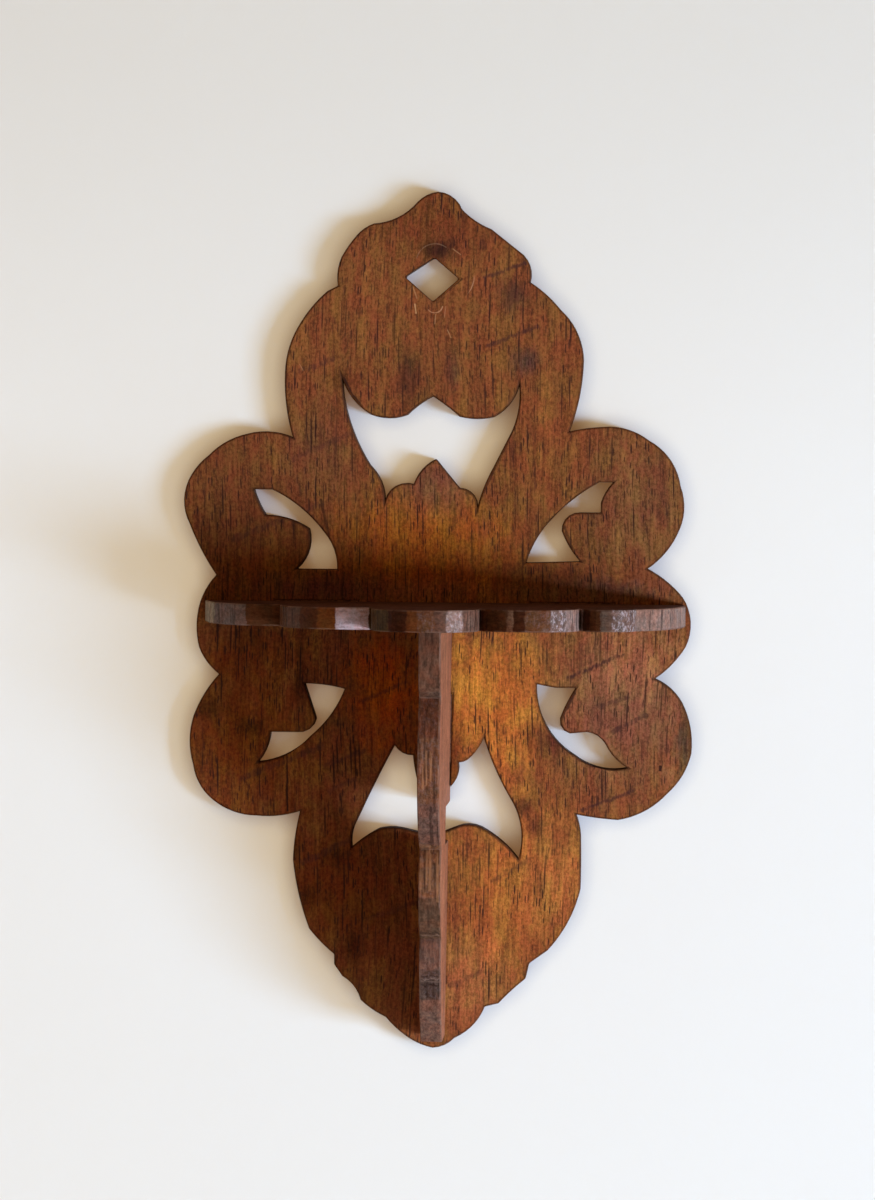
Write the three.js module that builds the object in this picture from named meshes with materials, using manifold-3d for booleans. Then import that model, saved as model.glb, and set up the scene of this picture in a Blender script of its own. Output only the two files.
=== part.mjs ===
// A small fretwork wall shelf in mahogany, hand sawn from one thickness of board.
//
// Three boards make it: a pierced back board, a scalloped half-round shelf and a scalloped bracket.
// The shelf has two tenons through mortises in the back board. The bracket has a tongue at its back,
// let into a slot that is sawn up into the pendant of the lower opening. Below the tongue the bracket
// is notched, so that light falls through the opening behind it. Six fret pins keep the glued joints
// shut: two through the back board into the shelf, two through it into the bracket, and two down
// through the shelf into the top of the bracket.
//
// Units are millimetres. X runs to the right as the shelf is looked at, Z runs up, and the front
// faces -Y. The origin is the nail seat: the top corner of the diamond hole, at the face that lies
// against the wall. The wall is the plane Y = 0.

import * as THREE from 'three';
import { mergeVertices } from 'three/addons/utils/BufferGeometryUtils.js';
import loadManifold from 'manifold-3d';

// Back board
const BOARD_WIDTH = 151.4;
const BOARD_HEIGHT = 254;
const STOCK_THICKNESS = 6.35;
const NAIL_HOLE_WIDTH = 16;
const NAIL_HOLE_HEIGHT = 13;

// Shelf
const SHELF_WIDTH = 142.6;
const SHELF_DEPTH = 74;
const SHELF_OFFSET = 4;
const TENON_WIDTH = 24;
const TENON_SPACING = 76;

// Bracket
const BRACKET_DEPTH = 64;
const BRACKET_OFFSET = 3.1;
const BRACKET_LEAN_DEGREES = 0.5;
const FOOT_MARGIN = 3.8;
const TONGUE_HEIGHT = 32;
const NOTCH_DEPTH = 17;
const NOTCH_HEIGHT = 11;

// Fret pins
const PIN_LENGTH = 19;
const PIN_DIAMETER = 1.2;
const PIN_HEAD_DIAMETER = 2.4;
const PIN_HEAD_THICKNESS = 0.7;
const PIN_POINT_LENGTH = 2;
const PIN_SET = 0.2;
const SHELF_PIN_SPACING = 26;
const TOP_PIN_INSET = 14;
const UPPER_PIN_DROP = 10;
const LOWER_PIN_RISE = 34;

// Fits
const JOINT_CLEARANCE = 0.3;
const GLUE_LINE = 0.15;
const PIN_CLEARANCE = 0.15;
const BORE_MOUTH = 1;
const CUT_THROUGH = 3 * STOCK_THICKNESS;

// Length of one flat left by the saw on a curved edge
const SAW_FLAT = 2;
const PIN_SIDES = 12;

// The pattern, in millimetres from the nail seat. Each stretch is [across, up, swell]: where it
// ends, and how far its middle swells to the left of the way that it runs. Every edge runs clockwise,
// so a positive swell goes away from the middle of the shape.

const FINIAL_TOP = [1, 19.5];
const OUTER_EDGE = [
  // Right side of the finial
  [8, 14.5, 1.3],
  [17, 8.5, -0.6],
  [26.5, 1, 0],
  [28.5, -7, 1.1],
  // Right shoulder
  [37.5, -15, 0.5],
  [44.5, -30, 1.7],
  [40.5, -51, 0.9],
  // Upper right lobe
  [52.5, -49.5, 0.3],
  [64, -53.5, 1],
  [73.5, -67, 2],
  [74, -78, 0.9],
  [64, -91.5, 1.4],
  // Middle right lobe
  [74.5, -100, 0.7],
  [75.5, -114.5, 1.9],
  [66.5, -124, 0.7],
  // Lower right lobe
  [75.5, -133, 1.3],
  [77.5, -146, 0.8],
  [70.5, -158, 1.1],
  [56, -166, 1.4],
  [43.5, -164.5, 0.2],
  // Right hip
  [45, -172.5, 0.4],
  [45, -187, 0.1],
  [35.5, -205, 1.3],
  [30, -209, 0],
  // Right of the tail
  [29, -213.5, 0],
  [21, -221, -0.2],
  [17, -222, 0],
  [8, -231.5, 1.3],
  [1.5, -234.5, 0.7],
  // Left of the tail
  [-5, -232, 0.3],
  [-12.5, -225.5, 0.4],
  [-20, -220.5, 0.4],
  [-25.5, -213.5, -0.9],
  [-28, -210, 0],
  [-28, -207, 0],
  // Left hip
  [-35.5, -199.5, 0.3],
  [-40.5, -179, 0.7],
  [-38.5, -164.5, 0.4],
  // Lower left lobe
  [-51.5, -166, 0.7],
  [-64.5, -161.5, 1.2],
  [-70.5, -151, 1.2],
  [-70.5, -136.5, 1.1],
  [-63, -124, 0.7],
  // Middle left lobe
  [-69, -116, 0.7],
  [-69.5, -106, 0.5],
  [-64, -94.5, 1],
  // Upper left lobe
  [-72, -79.5, 0.5],
  [-72.5, -66.5, 1.5],
  [-66.5, -59, 0.6],
  [-55, -52.5, 1],
  [-41.5, -53.5, 1.2],
  // Left shoulder
  [-44, -34.5, 0.8],
  [-39.5, -19.5, 1.1],
  [-31.5, -10, 0.5],
  [-28.5, -8.5, 0],
  // Left side of the finial
  [-27.5, 0, 0.6],
  [-23, 6.5, 0.2],
  [-18, 10, 0.4],
  [-5, 16.5, -1.5],
  [...FINIAL_TOP, 0.6],
];

const UPPER_OPENING = [
  [-27, -36],
  // Two lobes hang into the opening, with a cusp between them
  [-18.5, -46.5, -1.2],
  [-7.5, -46.5, -1.1],
  [0, -41, 0.4],
  [8, -47, 0.2],
  [18, -47, -0.6],
  [25.5, -37.5, -1.3],
  // Right side
  [23.5, -51, 0.9],
  [18, -62, 0],
  [13.5, -73.5, -0.4],
  // The pointed bud at the foot
  [8, -68, -1.6],
  [1, -59.5, 0],
  [-5.5, -67, -1],
  [-14, -72, -2.2],
  // Left side
  [-18.5, -61.5, -1.2],
  [-26.5, -41, 1.1],
  [-27, -36, 0],
];

const UPPER_LEFT_CRESCENT = [
  [-53, -69],
  [-47.5, -69, 0],
  [-32, -81.5, 1.2],
  [-28, -92.5, 1.1],
  [-40, -92.5, 0],
  [-36.5, -80.5, -1.8],
  [-49.5, -76.5, -1],
  [-53, -69, 0.3],
];

const UPPER_RIGHT_CRESCENT = [
  [49.5, -66],
  [53.5, -66, 0],
  [50, -72, -0.4],
  [50, -75, 0],
  [44, -75, 0],
  [38.5, -80.5, -1.8],
  [44, -89.5, -0.5],
  [28, -90, 0],
  [36, -76.5, 1],
  [49.5, -66, 0.7],
];

const LOWER_LEFT_CRESCENT = [
  [-37.5, -126.5],
  [-25.5, -128, 0.4],
  [-35.5, -142, 1.1],
  [-51, -150, 1.6],
  [-47.5, -141, -0.7],
  [-39.5, -141, 0],
  [-34, -137, -1.4],
  [-37.5, -126.5, 0],
];

const LOWER_RIGHT_CRESCENT = [
  [31.5, -126],
  [37, -127, 0],
  [43, -127, 0],
  [38.5, -136, -0.3],
  [41.5, -140.5, -1.1],
  [46.5, -140, 0],
  [52, -143.5, 0.8],
  [58.5, -150.5, -0.7],
  [43, -147, 1.8],
  [31.5, -126, 3.3],
];

const PENDANT_TIP = [2, -161.5];
const LOWER_OPENING = [
  [16, -142],
  // Right side
  [24, -160, -0.6],
  [26.5, -178, 2],
  // Two lobes rise into the opening, with a cusp between them
  [17, -169.5, -0.6],
  [10, -168, -0.7],
  [1.5, -171.5, -0.2],
  [-7, -169.5, 0],
  [-15, -169.5, -0.5],
  [-23, -175, -0.3],
  // Left side
  [-21.5, -167, 0.7],
  [-10.5, -144.5, 0.2],
  // The pendant that hangs from the top
  [-5, -147.5, -0.9],
  [-3.5, -155.5, -0.2],
  [...PENDANT_TIP, 0],
  [6, -157, 0],
  [8.5, -149.5, -1],
  [12.5, -147.5, -0.5],
  [16, -142, -0.3],
];

// Height on the pattern of the shelf's upper face
const SHELF_LINE = -102;

// Corners of the diamond, as shares of its width and height from its top corner
const DIAMOND_CORNERS = [
  [0, 0],
  [0.46, -0.48],
  [-0.02, -1],
  [-0.54, -0.44],
];

// Front edge of the shelf as [across, forward, swell], from its left back corner to its right one
const SHELF_EDGE = [
  [-71.3, 0],
  // Left end
  [-69.5, 9, 0],
  [-58, 30, 2],
  [-46, 32, 1],
  // The three lobes at the front
  [-17.7, 54, 9.5],
  [12.8, 55, 18],
  [41.2, 45, 12],
  // Right end
  [57.5, 46, 8],
  [69.3, 22, 2],
  [71.3, 4, 0.8],
  [71.3, 0, 0],
];

// Front edge of the bracket as [forward, up, swell], from under the shelf down to the foot
const BRACKET_EDGE = [
  [64, 0],
  [62, -11, 0.5],
  [56, -19, 1.5],
  // The long lobe
  [40, -63.5, 11],
  // Three smaller lobes
  [32, -90, 6],
  [29, -103, 2.2],
  [22, -116, 2],
  // Foot
  [17, -122, 0],
  [0, -122, 0],
];

const { Vector2, Vector3, Matrix4 } = THREE;

/** Points of an arc after its start, with its middle swelling to the left of the chord. */
function arcPoints(from, to, swell) {
  if (swell === 0) return [to];
  const chord = to.clone().sub(from);
  const along = chord.clone().normalize();
  const outward = new Vector2(-along.y, along.x);
  const halfTurn = 2 * Math.atan2(2 * swell, chord.length());
  const radius = chord.length() / (2 * Math.sin(halfTurn));
  const centre = from.clone().add(to).multiplyScalar(0.5);
  centre.addScaledVector(outward, -radius * Math.cos(halfTurn));
  const flats = Math.max(1, Math.ceil((2 * halfTurn * radius) / SAW_FLAT));
  const points = [];
  for (let flat = 1; flat < flats; flat += 1) {
    const turn = halfTurn * ((2 * flat) / flats - 1);
    const point = centre.clone().addScaledVector(outward, radius * Math.cos(turn));
    points.push(point.addScaledVector(along, radius * Math.sin(turn)));
  }
  points.push(to);
  return points;
}

/** Points along a traced edge, which is a start and then its stretches. */
function traced([start, ...stretches]) {
  const points = [new Vector2(...start)];
  for (const [across, up, swell] of stretches) {
    points.push(...arcPoints(points.at(-1), new Vector2(across, up), swell));
  }
  return points;
}

/** The same points enlarged or reduced by a factor across and a factor up. */
function stretched(points, factors) {
  return points.map((point) => point.clone().multiply(factors));
}

/** Factors that bring a traced edge to a stated width and height. */
function factorsTo(points, width, height) {
  const drawn = new THREE.Box2().setFromPoints(points).getSize(new Vector2());
  return new Vector2(width / drawn.x, height / drawn.y);
}

/** A flat board of the stock's thickness, sawn to an outline with openings. */
function sawnBoard(outline, openings, placing) {
  const isClockwise = THREE.ShapeUtils.isClockWise(outline);
  const shape = new THREE.Shape(isClockwise ? outline.toReversed() : outline);
  shape.holes = openings.map((points) => new THREE.Path(points));
  const geometry = new THREE.ExtrudeGeometry(shape, { depth: STOCK_THICKNESS, bevelEnabled: false });
  return geometry.applyMatrix4(placing);
}

/** Matrix whose local X and Y axes run along two given directions, with local Z square to both. */
function facing(alongX, alongY) {
  const x = new Vector3(...alongX);
  const y = new Vector3(...alongY);
  return new Matrix4().makeBasis(x, y, x.clone().cross(y));
}

const manifold = await loadManifold();
manifold.setup();

/** Closed solid of a geometry, ready to be cut. */
function solidOf(geometry) {
  const bare = geometry.clone();
  bare.deleteAttribute('normal');
  bare.deleteAttribute('uv');
  const merged = mergeVertices(bare, 1e-4);
  return new manifold.Manifold(new manifold.Mesh({
    numProp: 3,
    vertProperties: merged.attributes.position.array,
    triVerts: new Uint32Array(merged.index.array),
  }));
}

/** Geometry of a solid after its cuts. */
function geometryOf(solid) {
  const mesh = solid.getMesh();
  const geometry = new THREE.BufferGeometry();
  geometry.setAttribute('position', new THREE.BufferAttribute(mesh.vertProperties, 3));
  geometry.setIndex(new THREE.BufferAttribute(mesh.triVerts, 1));
  const faceted = geometry.toNonIndexed();
  faceted.computeVertexNormals();
  return faceted;
}

/** Geometry of a board with every cutter taken out of it. */
function cutBy(geometry, cutters) {
  const remaining = cutters.reduce((solid, cutter) => solid.subtract(solidOf(cutter)), solidOf(geometry));
  return geometryOf(remaining);
}

// Places that more than one piece shares

const drawnEdge = traced([FINIAL_TOP, ...OUTER_EDGE]);
const boardFactors = factorsTo(drawnEdge, BOARD_WIDTH, BOARD_HEIGHT);
const boardEdge = stretched(drawnEdge, boardFactors);
const boardFoot = Math.min(...boardEdge.map((point) => point.y));
const boardFront = -STOCK_THICKNESS;
const shelfTop = SHELF_LINE * boardFactors.y;
const shelfUnderside = shelfTop - STOCK_THICKNESS;
const shelfMiddle = shelfTop - STOCK_THICKNESS / 2;
const jointBack = boardFront - GLUE_LINE;
const bracketTop = shelfUnderside - GLUE_LINE;
const bracketHeight = bracketTop - (boardFoot + FOOT_MARGIN);
const bracketLean = THREE.MathUtils.degToRad(BRACKET_LEAN_DEGREES);
const tongueFoot = PENDANT_TIP[1] * boardFactors.y;
const tongueTop = tongueFoot + TONGUE_HEIGHT;

/** Middle of the bracket's thickness at a height, as the bracket leans a little. */
function bracketMiddle(height) {
  return BRACKET_OFFSET + (height - bracketTop) * Math.tan(bracketLean);
}

/** Turns the bracket from its own upright plane to its leaning place behind the glue line. */
const bracketPlacing = new Matrix4()
  .makeTranslation(BRACKET_OFFSET, jointBack, bracketTop)
  .multiply(new Matrix4().makeRotationY(bracketLean))
  .multiply(facing([0, -1, 0], [0, 0, 1]))
  .multiply(new Matrix4().makeTranslation(0, 0, -STOCK_THICKNESS / 2));

// Fret pins. A pin's own origin is the top of its head, and its point lies along local -Y.

/** Profile of a pin from its point to its head, or of the bore that holds it when there is a gap. */
function pinProfile(gap, reachAboveHead) {
  const shank = PIN_DIAMETER / 2 + gap;
  const head = PIN_HEAD_DIAMETER / 2 + gap;
  return [
    new Vector2(0, -PIN_LENGTH - gap),
    new Vector2(shank, -PIN_LENGTH + PIN_POINT_LENGTH),
    new Vector2(shank, -PIN_HEAD_THICKNESS - gap),
    new Vector2(head, -PIN_HEAD_THICKNESS - gap),
    new Vector2(head, reachAboveHead),
    new Vector2(0, reachAboveHead),
  ];
}

const pinGeometry = new THREE.LatheGeometry(pinProfile(0, 0), PIN_SIDES);
const boreGeometry = new THREE.LatheGeometry(pinProfile(PIN_CLEARANCE, PIN_SET + BORE_MOUTH), PIN_SIDES);

const backPin = (across, up) => ({ position: new Vector3(across, -PIN_SET, up), turn: 0 });
const topPin = (across, forward) => ({
  position: new Vector3(across, boardFront - forward, shelfTop - PIN_SET),
  turn: Math.PI / 2,
});

const upperPinHeight = bracketTop - UPPER_PIN_DROP;
const lowerPinHeight = boardFoot + LOWER_PIN_RISE;
const topPinAcross = bracketMiddle(bracketTop);

const pinPlaces = {
  shelf_pin_left: backPin(SHELF_OFFSET - SHELF_PIN_SPACING / 2, shelfMiddle),
  shelf_pin_right: backPin(SHELF_OFFSET + SHELF_PIN_SPACING / 2, shelfMiddle),
  bracket_pin_upper: backPin(bracketMiddle(upperPinHeight), upperPinHeight),
  bracket_pin_lower: backPin(bracketMiddle(lowerPinHeight), lowerPinHeight),
  top_pin_rear: topPin(topPinAcross, TOP_PIN_INSET),
  top_pin_front: topPin(topPinAcross, BRACKET_DEPTH - TOP_PIN_INSET),
};

/** The bore for one pin, where the pin lies. */
function boreFor(name) {
  const { position, turn } = pinPlaces[name];
  const placing = new Matrix4().makeTranslation(position).multiply(new Matrix4().makeRotationX(turn));
  return boreGeometry.clone().applyMatrix4(placing);
}

const shelfPins = ['shelf_pin_left', 'shelf_pin_right'];
const bracketPins = ['bracket_pin_upper', 'bracket_pin_lower'];
const topPins = ['top_pin_rear', 'top_pin_front'];

// Back board

/** The mortise for one tenon of the shelf, on the left (-1) or on the right (1). */
function mortise(side) {
  const hole = new THREE.BoxGeometry(
    TENON_WIDTH + 2 * JOINT_CLEARANCE,
    CUT_THROUGH,
    STOCK_THICKNESS + 2 * JOINT_CLEARANCE,
  );
  return hole.translate(SHELF_OFFSET + (side * TENON_SPACING) / 2, boardFront / 2, shelfMiddle);
}

/** The slot for the bracket's tongue, open at the foot where the pendant ends. */
function tongueSlot() {
  const run = TONGUE_HEIGHT + 2 * JOINT_CLEARANCE;
  const slot = new THREE.BoxGeometry(
    STOCK_THICKNESS + 2 * JOINT_CLEARANCE,
    CUT_THROUGH,
    run,
  );
  const middle = (tongueTop + tongueFoot) / 2;
  slot.rotateY(bracketLean);
  return slot.translate(bracketMiddle(middle), boardFront / 2, middle);
}

function makeBackBoard() {
  const fretwork = [
    UPPER_OPENING,
    UPPER_LEFT_CRESCENT,
    UPPER_RIGHT_CRESCENT,
    LOWER_LEFT_CRESCENT,
    LOWER_RIGHT_CRESCENT,
    LOWER_OPENING,
  ].map((edge) => stretched(traced(edge), boardFactors));
  const diamondSize = new Vector2(NAIL_HOLE_WIDTH, NAIL_HOLE_HEIGHT);
  const diamond = stretched(DIAMOND_CORNERS.map((corner) => new Vector2(...corner)), diamondSize);
  const board = sawnBoard(boardEdge, [diamond, ...fretwork], facing([1, 0, 0], [0, 0, 1]));
  const bores = [...shelfPins, ...bracketPins].map(boreFor);
  return cutBy(board, [mortise(-1), mortise(1), tongueSlot(), ...bores]);
}

// Shelf

/** Outline of the shelf seen from above, with its tenons running back through the board. */
function shelfOutline() {
  const drawn = traced(SHELF_EDGE);
  const edge = stretched(drawn, factorsTo(drawn, SHELF_WIDTH, SHELF_DEPTH - GLUE_LINE));
  const tenonReach = -(STOCK_THICKNESS + GLUE_LINE);
  const tenons = [1, -1].flatMap((side) => {
    const left = (side * TENON_SPACING - TENON_WIDTH) / 2;
    const right = (side * TENON_SPACING + TENON_WIDTH) / 2;
    return [
      new Vector2(right, 0),
      new Vector2(right, tenonReach),
      new Vector2(left, tenonReach),
      new Vector2(left, 0),
    ];
  });
  return [...edge, ...tenons];
}

function makeShelf() {
  const placing = new Matrix4()
    .makeTranslation(SHELF_OFFSET, jointBack, shelfTop)
    .multiply(facing([1, 0, 0], [0, -1, 0]));
  const board = sawnBoard(shelfOutline(), [], placing);
  return cutBy(board, [...shelfPins, ...topPins].map(boreFor));
}

// Bracket

/** Outline of the bracket seen from its side, with the notch and the tongue at its back. */
function bracketOutline() {
  const drawn = traced(BRACKET_EDGE);
  const front = stretched(drawn, factorsTo(drawn, BRACKET_DEPTH - GLUE_LINE, bracketHeight));
  const tongueReach = -(STOCK_THICKNESS + GLUE_LINE);
  const foot = tongueFoot - bracketTop;
  const top = tongueTop - bracketTop;
  const notchFoot = foot - NOTCH_HEIGHT;
  return [
    ...front,
    new Vector2(0, notchFoot),
    new Vector2(NOTCH_DEPTH, notchFoot),
    new Vector2(NOTCH_DEPTH, foot),
    new Vector2(tongueReach, foot),
    new Vector2(tongueReach, top),
    new Vector2(0, top),
    new Vector2(0, 0),
  ];
}

function makeBracket() {
  const board = sawnBoard(bracketOutline(), [], bracketPlacing);
  return cutBy(board, [...bracketPins, ...topPins].map(boreFor));
}

// Assembly

const boardWood = new THREE.MeshStandardMaterial({ color: 0x7d4522, roughness: 0.55 });
const shelfWood = new THREE.MeshStandardMaterial({ color: 0x6f4538, roughness: 0.45 });
const bracketWood = new THREE.MeshStandardMaterial({ color: 0x6a4235, roughness: 0.45 });
const pinSteel = new THREE.MeshStandardMaterial({ color: 0x77716a, roughness: 0.4, metalness: 0.9 });

/** A named sub-part. */
function piece(name, geometry, material) {
  const mesh = new THREE.Mesh(geometry, material);
  mesh.name = name;
  return mesh;
}

const wallShelf = new THREE.Group();
wallShelf.add(
  piece('back_board', makeBackBoard(), boardWood),
  piece('shelf', makeShelf(), shelfWood),
  piece('bracket', makeBracket(), bracketWood),
);

for (const [name, { position, turn }] of Object.entries(pinPlaces)) {
  const pin = piece(name, pinGeometry, pinSteel.clone());
  pin.position.copy(position);
  pin.rotation.x = turn;
  wallShelf.add(pin);
}

export default wallShelf;
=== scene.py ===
"""Looks of a small fretwork wall shelf that hangs on a pale wall."""

import logging
import math
from dataclasses import dataclass
from enum import Enum

import bmesh
import bpy
from mathutils import Matrix, Vector


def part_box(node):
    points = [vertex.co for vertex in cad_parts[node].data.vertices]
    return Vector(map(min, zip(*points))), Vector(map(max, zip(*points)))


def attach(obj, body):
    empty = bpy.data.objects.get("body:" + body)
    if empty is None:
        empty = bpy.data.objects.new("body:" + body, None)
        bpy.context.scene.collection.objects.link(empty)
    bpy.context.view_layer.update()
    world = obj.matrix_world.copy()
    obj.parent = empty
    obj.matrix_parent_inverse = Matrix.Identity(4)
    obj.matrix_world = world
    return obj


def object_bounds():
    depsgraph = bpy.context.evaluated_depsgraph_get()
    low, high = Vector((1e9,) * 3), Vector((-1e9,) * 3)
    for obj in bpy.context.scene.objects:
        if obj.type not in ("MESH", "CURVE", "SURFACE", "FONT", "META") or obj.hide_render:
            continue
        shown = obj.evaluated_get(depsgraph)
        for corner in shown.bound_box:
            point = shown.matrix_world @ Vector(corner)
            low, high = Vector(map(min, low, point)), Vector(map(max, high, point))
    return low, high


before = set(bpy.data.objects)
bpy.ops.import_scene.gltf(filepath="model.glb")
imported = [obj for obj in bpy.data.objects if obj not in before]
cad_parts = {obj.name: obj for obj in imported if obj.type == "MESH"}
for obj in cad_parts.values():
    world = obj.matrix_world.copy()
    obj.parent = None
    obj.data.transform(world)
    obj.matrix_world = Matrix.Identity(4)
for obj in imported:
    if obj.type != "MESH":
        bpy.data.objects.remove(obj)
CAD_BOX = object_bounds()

LOG = logging.getLogger("wall_shelf")

Colour = tuple[float, float, float]
Point = tuple[float, float, float]
Spot = tuple[float, float]
Node = bpy.types.Node
Socket = bpy.types.NodeSocket
Sockets = bpy.types.bpy_prop_collection
Tree = bpy.types.NodeTree
Material = bpy.types.Material
Piece = bpy.types.Object

WHITE = (1.0, 1.0, 1.0)
MILLIMETRES = 1000.0
RED_SHARE = 0.9
PORE_SHARE = 0.9
ROUGHNESS_SPREAD = 0.2
FIBRES_OVER_FACETS = 0.6
FACET_BORDER_WANDER = 1.0
GRAIN_DRIFT = 7.0
THROUGH_TO_ACROSS = 0.73
PORE_EDGE = (-0.04, 0.05)
BUMP_STRENGTH = 0.6
BUMP_HEIGHT = 0.00006
WARM_CAST = (1.08, 0.96, 0.9)
COOL_CAST = (0.93, 1.05, 1.1)
# Parts of the surface normal between which a layer fades in
NOT_THE_BACK = (0.8, 0.3)
THE_FRONT = (-0.2, -0.5)
SAWN_EDGE = (0.995, 0.88)
END_GRAIN = (0.55, 0.9)
ROUGH_END = (0.6, 0.85)


class Grain(Enum):
    """Which way the fibres run. Each value lists the axes for across, through and along."""

    UPRIGHT = (0, 1, 2)
    SIDEWAYS = (2, 1, 0)


class Broad(Enum):
    """Which axis a board's broad faces look along."""

    THROUGH_WALL = 1
    UPWARD = 2
    SIDEWAYS = 0


class Graph:
    """Places nodes in one node tree and joins them."""

    def __init__(self, tree: Tree) -> None:
        """Keeps the tree that the nodes go into.

        Args:
            tree: the node tree of a material, a world or a node group.
        """
        self.tree = tree

    def add(self, kind: str, inputs: dict[int | str, object] | None = None, **settings: object) -> Node:
        """Adds one node.

        Args:
            kind: Blender's name for the kind of node.
            inputs: what goes into its inputs, by name or number.
            settings: properties of the node, by name.

        Returns:
            The new node.
        """
        node = self.tree.nodes.new(kind)
        for name, value in settings.items():
            setattr(node, name, value)
        for name, value in (inputs or {}).items():
            self.feed(node.inputs[name], value)
        return node

    def feed(self, socket: Socket, value: object) -> None:
        """Joins a value to a socket, as a link from another socket or as a plain value.

        Args:
            socket: the input that takes the value.
            value: an output socket, a number, a vector, a colour or a material.
        """
        if isinstance(value, Socket):
            self.tree.links.new(value, socket)
        elif socket.type == "RGBA":
            socket.default_value = (*value, 1.0)
        else:
            socket.default_value = value

    def maths(self, operation: str, *values: object) -> Socket:
        """Works out one number from one, two or three others.

        Args:
            operation: the name of the sum.
            values: numbers or sockets.

        Returns:
            The socket with the result.
        """
        return self.add("ShaderNodeMath", dict(enumerate(values)), operation=operation).outputs[0]

    def vectors(self, operation: str, *values: object) -> Socket:
        """Works out a vector from one or two others, or a number from them.

        Args:
            operation: the name of the sum.
            values: vectors or sockets.

        Returns:
            The socket with the result.
        """
        node = self.add("ShaderNodeVectorMath", dict(enumerate(values)), operation=operation)
        return node.outputs["Value" if operation in ("LENGTH", "DOT_PRODUCT") else "Vector"]

    def scaled(self, vector: object, factor: object) -> Socket:
        """Multiplies a vector by one number.

        Args:
            vector: the vector's socket.
            factor: a number or a socket.

        Returns:
            The socket with the longer or shorter vector.
        """
        node = self.add("ShaderNodeVectorMath", {0: vector, "Scale": factor}, operation="SCALE")
        return node.outputs[0]

    def eased(self, value: object, low: object, high: object) -> Socket:
        """Turns a number into a share from 0 at low to 1 at high, with soft ends.

        Args:
            value: the number's socket.
            low: where the share is 0.
            high: where the share is 1.

        Returns:
            The socket with the share.
        """
        inputs = {"Value": value, "From Min": low, "From Max": high}
        return self.add("ShaderNodeMapRange", inputs, interpolation_type="SMOOTHSTEP").outputs["Result"]

    def blended(self, share: object, under: object, over: object, way: str = "MIX") -> Socket:
        """Blends one colour over another.

        Args:
            share: how much of the upper colour shows, from 0 to 1.
            under: the lower colour.
            over: the upper colour.
            way: the name of the blend.

        Returns:
            The socket with the blended colour.
        """
        inputs = {0: share, 6: under, 7: over}
        return self.add("ShaderNodeMix", inputs, data_type="RGBA", blend_type=way).outputs[2]

    def mixed(self, share: object, under: Node, over: Node) -> Node:
        """Mixes two shaders.

        Args:
            share: how much of the upper shader shows, from 0 to 1.
            under: the node of the lower shader.
            over: the node of the upper shader.

        Returns:
            The node of the mix.
        """
        return self.add("ShaderNodeMixShader", {0: share, 1: under.outputs[0], 2: over.outputs[0]})

    def noise(self, place: object, stretch: Point, detail: float = 2.0, roughness: float = 0.5) -> Socket:
        """Adds soft random variation.

        Args:
            place: the socket with the place in millimetres.
            stretch: how often it varies in a millimetre, by axis.
            detail: how many finer layers are added.
            roughness: how strong the finer layers are.

        Returns:
            The socket with a number about 0.5.
        """
        node = self.add("ShaderNodeTexNoise", {"Scale": 1.0, "Detail": detail, "Roughness": roughness})
        self.feed(node.inputs["Vector"], self.vectors("MULTIPLY", place, stretch))
        return node.outputs[0]

    def use(self, group: Tree, **values: object) -> Sockets:
        """Places a node group.

        Args:
            group: the group's own tree.
            values: its inputs, by name with underscores for spaces.

        Returns:
            The outputs of the node that stands for the group.
        """
        inputs = {name.replace("_", " "): value for name, value in values.items()}
        return self.add("ShaderNodeGroup", inputs, node_tree=group).outputs


def blank_graph(owner: Material | bpy.types.World) -> Graph:
    """Empties the node tree of a material or of the world.

    Args:
        owner: the material or the world.

    Returns:
        The graph of its tree.
    """
    owner.use_nodes = True
    owner.node_tree.nodes.clear()
    return Graph(owner.node_tree)


def in_plane(spot: Spot, through: float = 0.0) -> Point:
    """Turns a spot on the front into a vector.

    Args:
        spot: the parts across and up.
        through: the part through the board.

    Returns:
        The vector.
    """
    return (spot[0], through, spot[1])


def placed(name: str, data: bpy.types.ID) -> Piece:
    """Makes an object and puts it into the scene.

    Args:
        name: the object's name.
        data: its mesh, camera or light.

    Returns:
        The object.
    """
    made = bpy.data.objects.new(name, data)
    bpy.context.scene.collection.objects.link(made)
    return made


@dataclass(frozen=True)
class Pores:
    """One size of open pore. Radii are shares of the spacing, and below 0 there is no pore."""

    per_millimetre: Spot
    smallest: float
    largest: float


# Short, long and as thin as a hair
PORE_SIZES = (
    Pores((1.2, 0.19), -0.14, 0.3),
    Pores((0.8, 0.036), -0.1, 0.22),
    Pores((0.4, 0.017), -0.06, 0.1),
)


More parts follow.
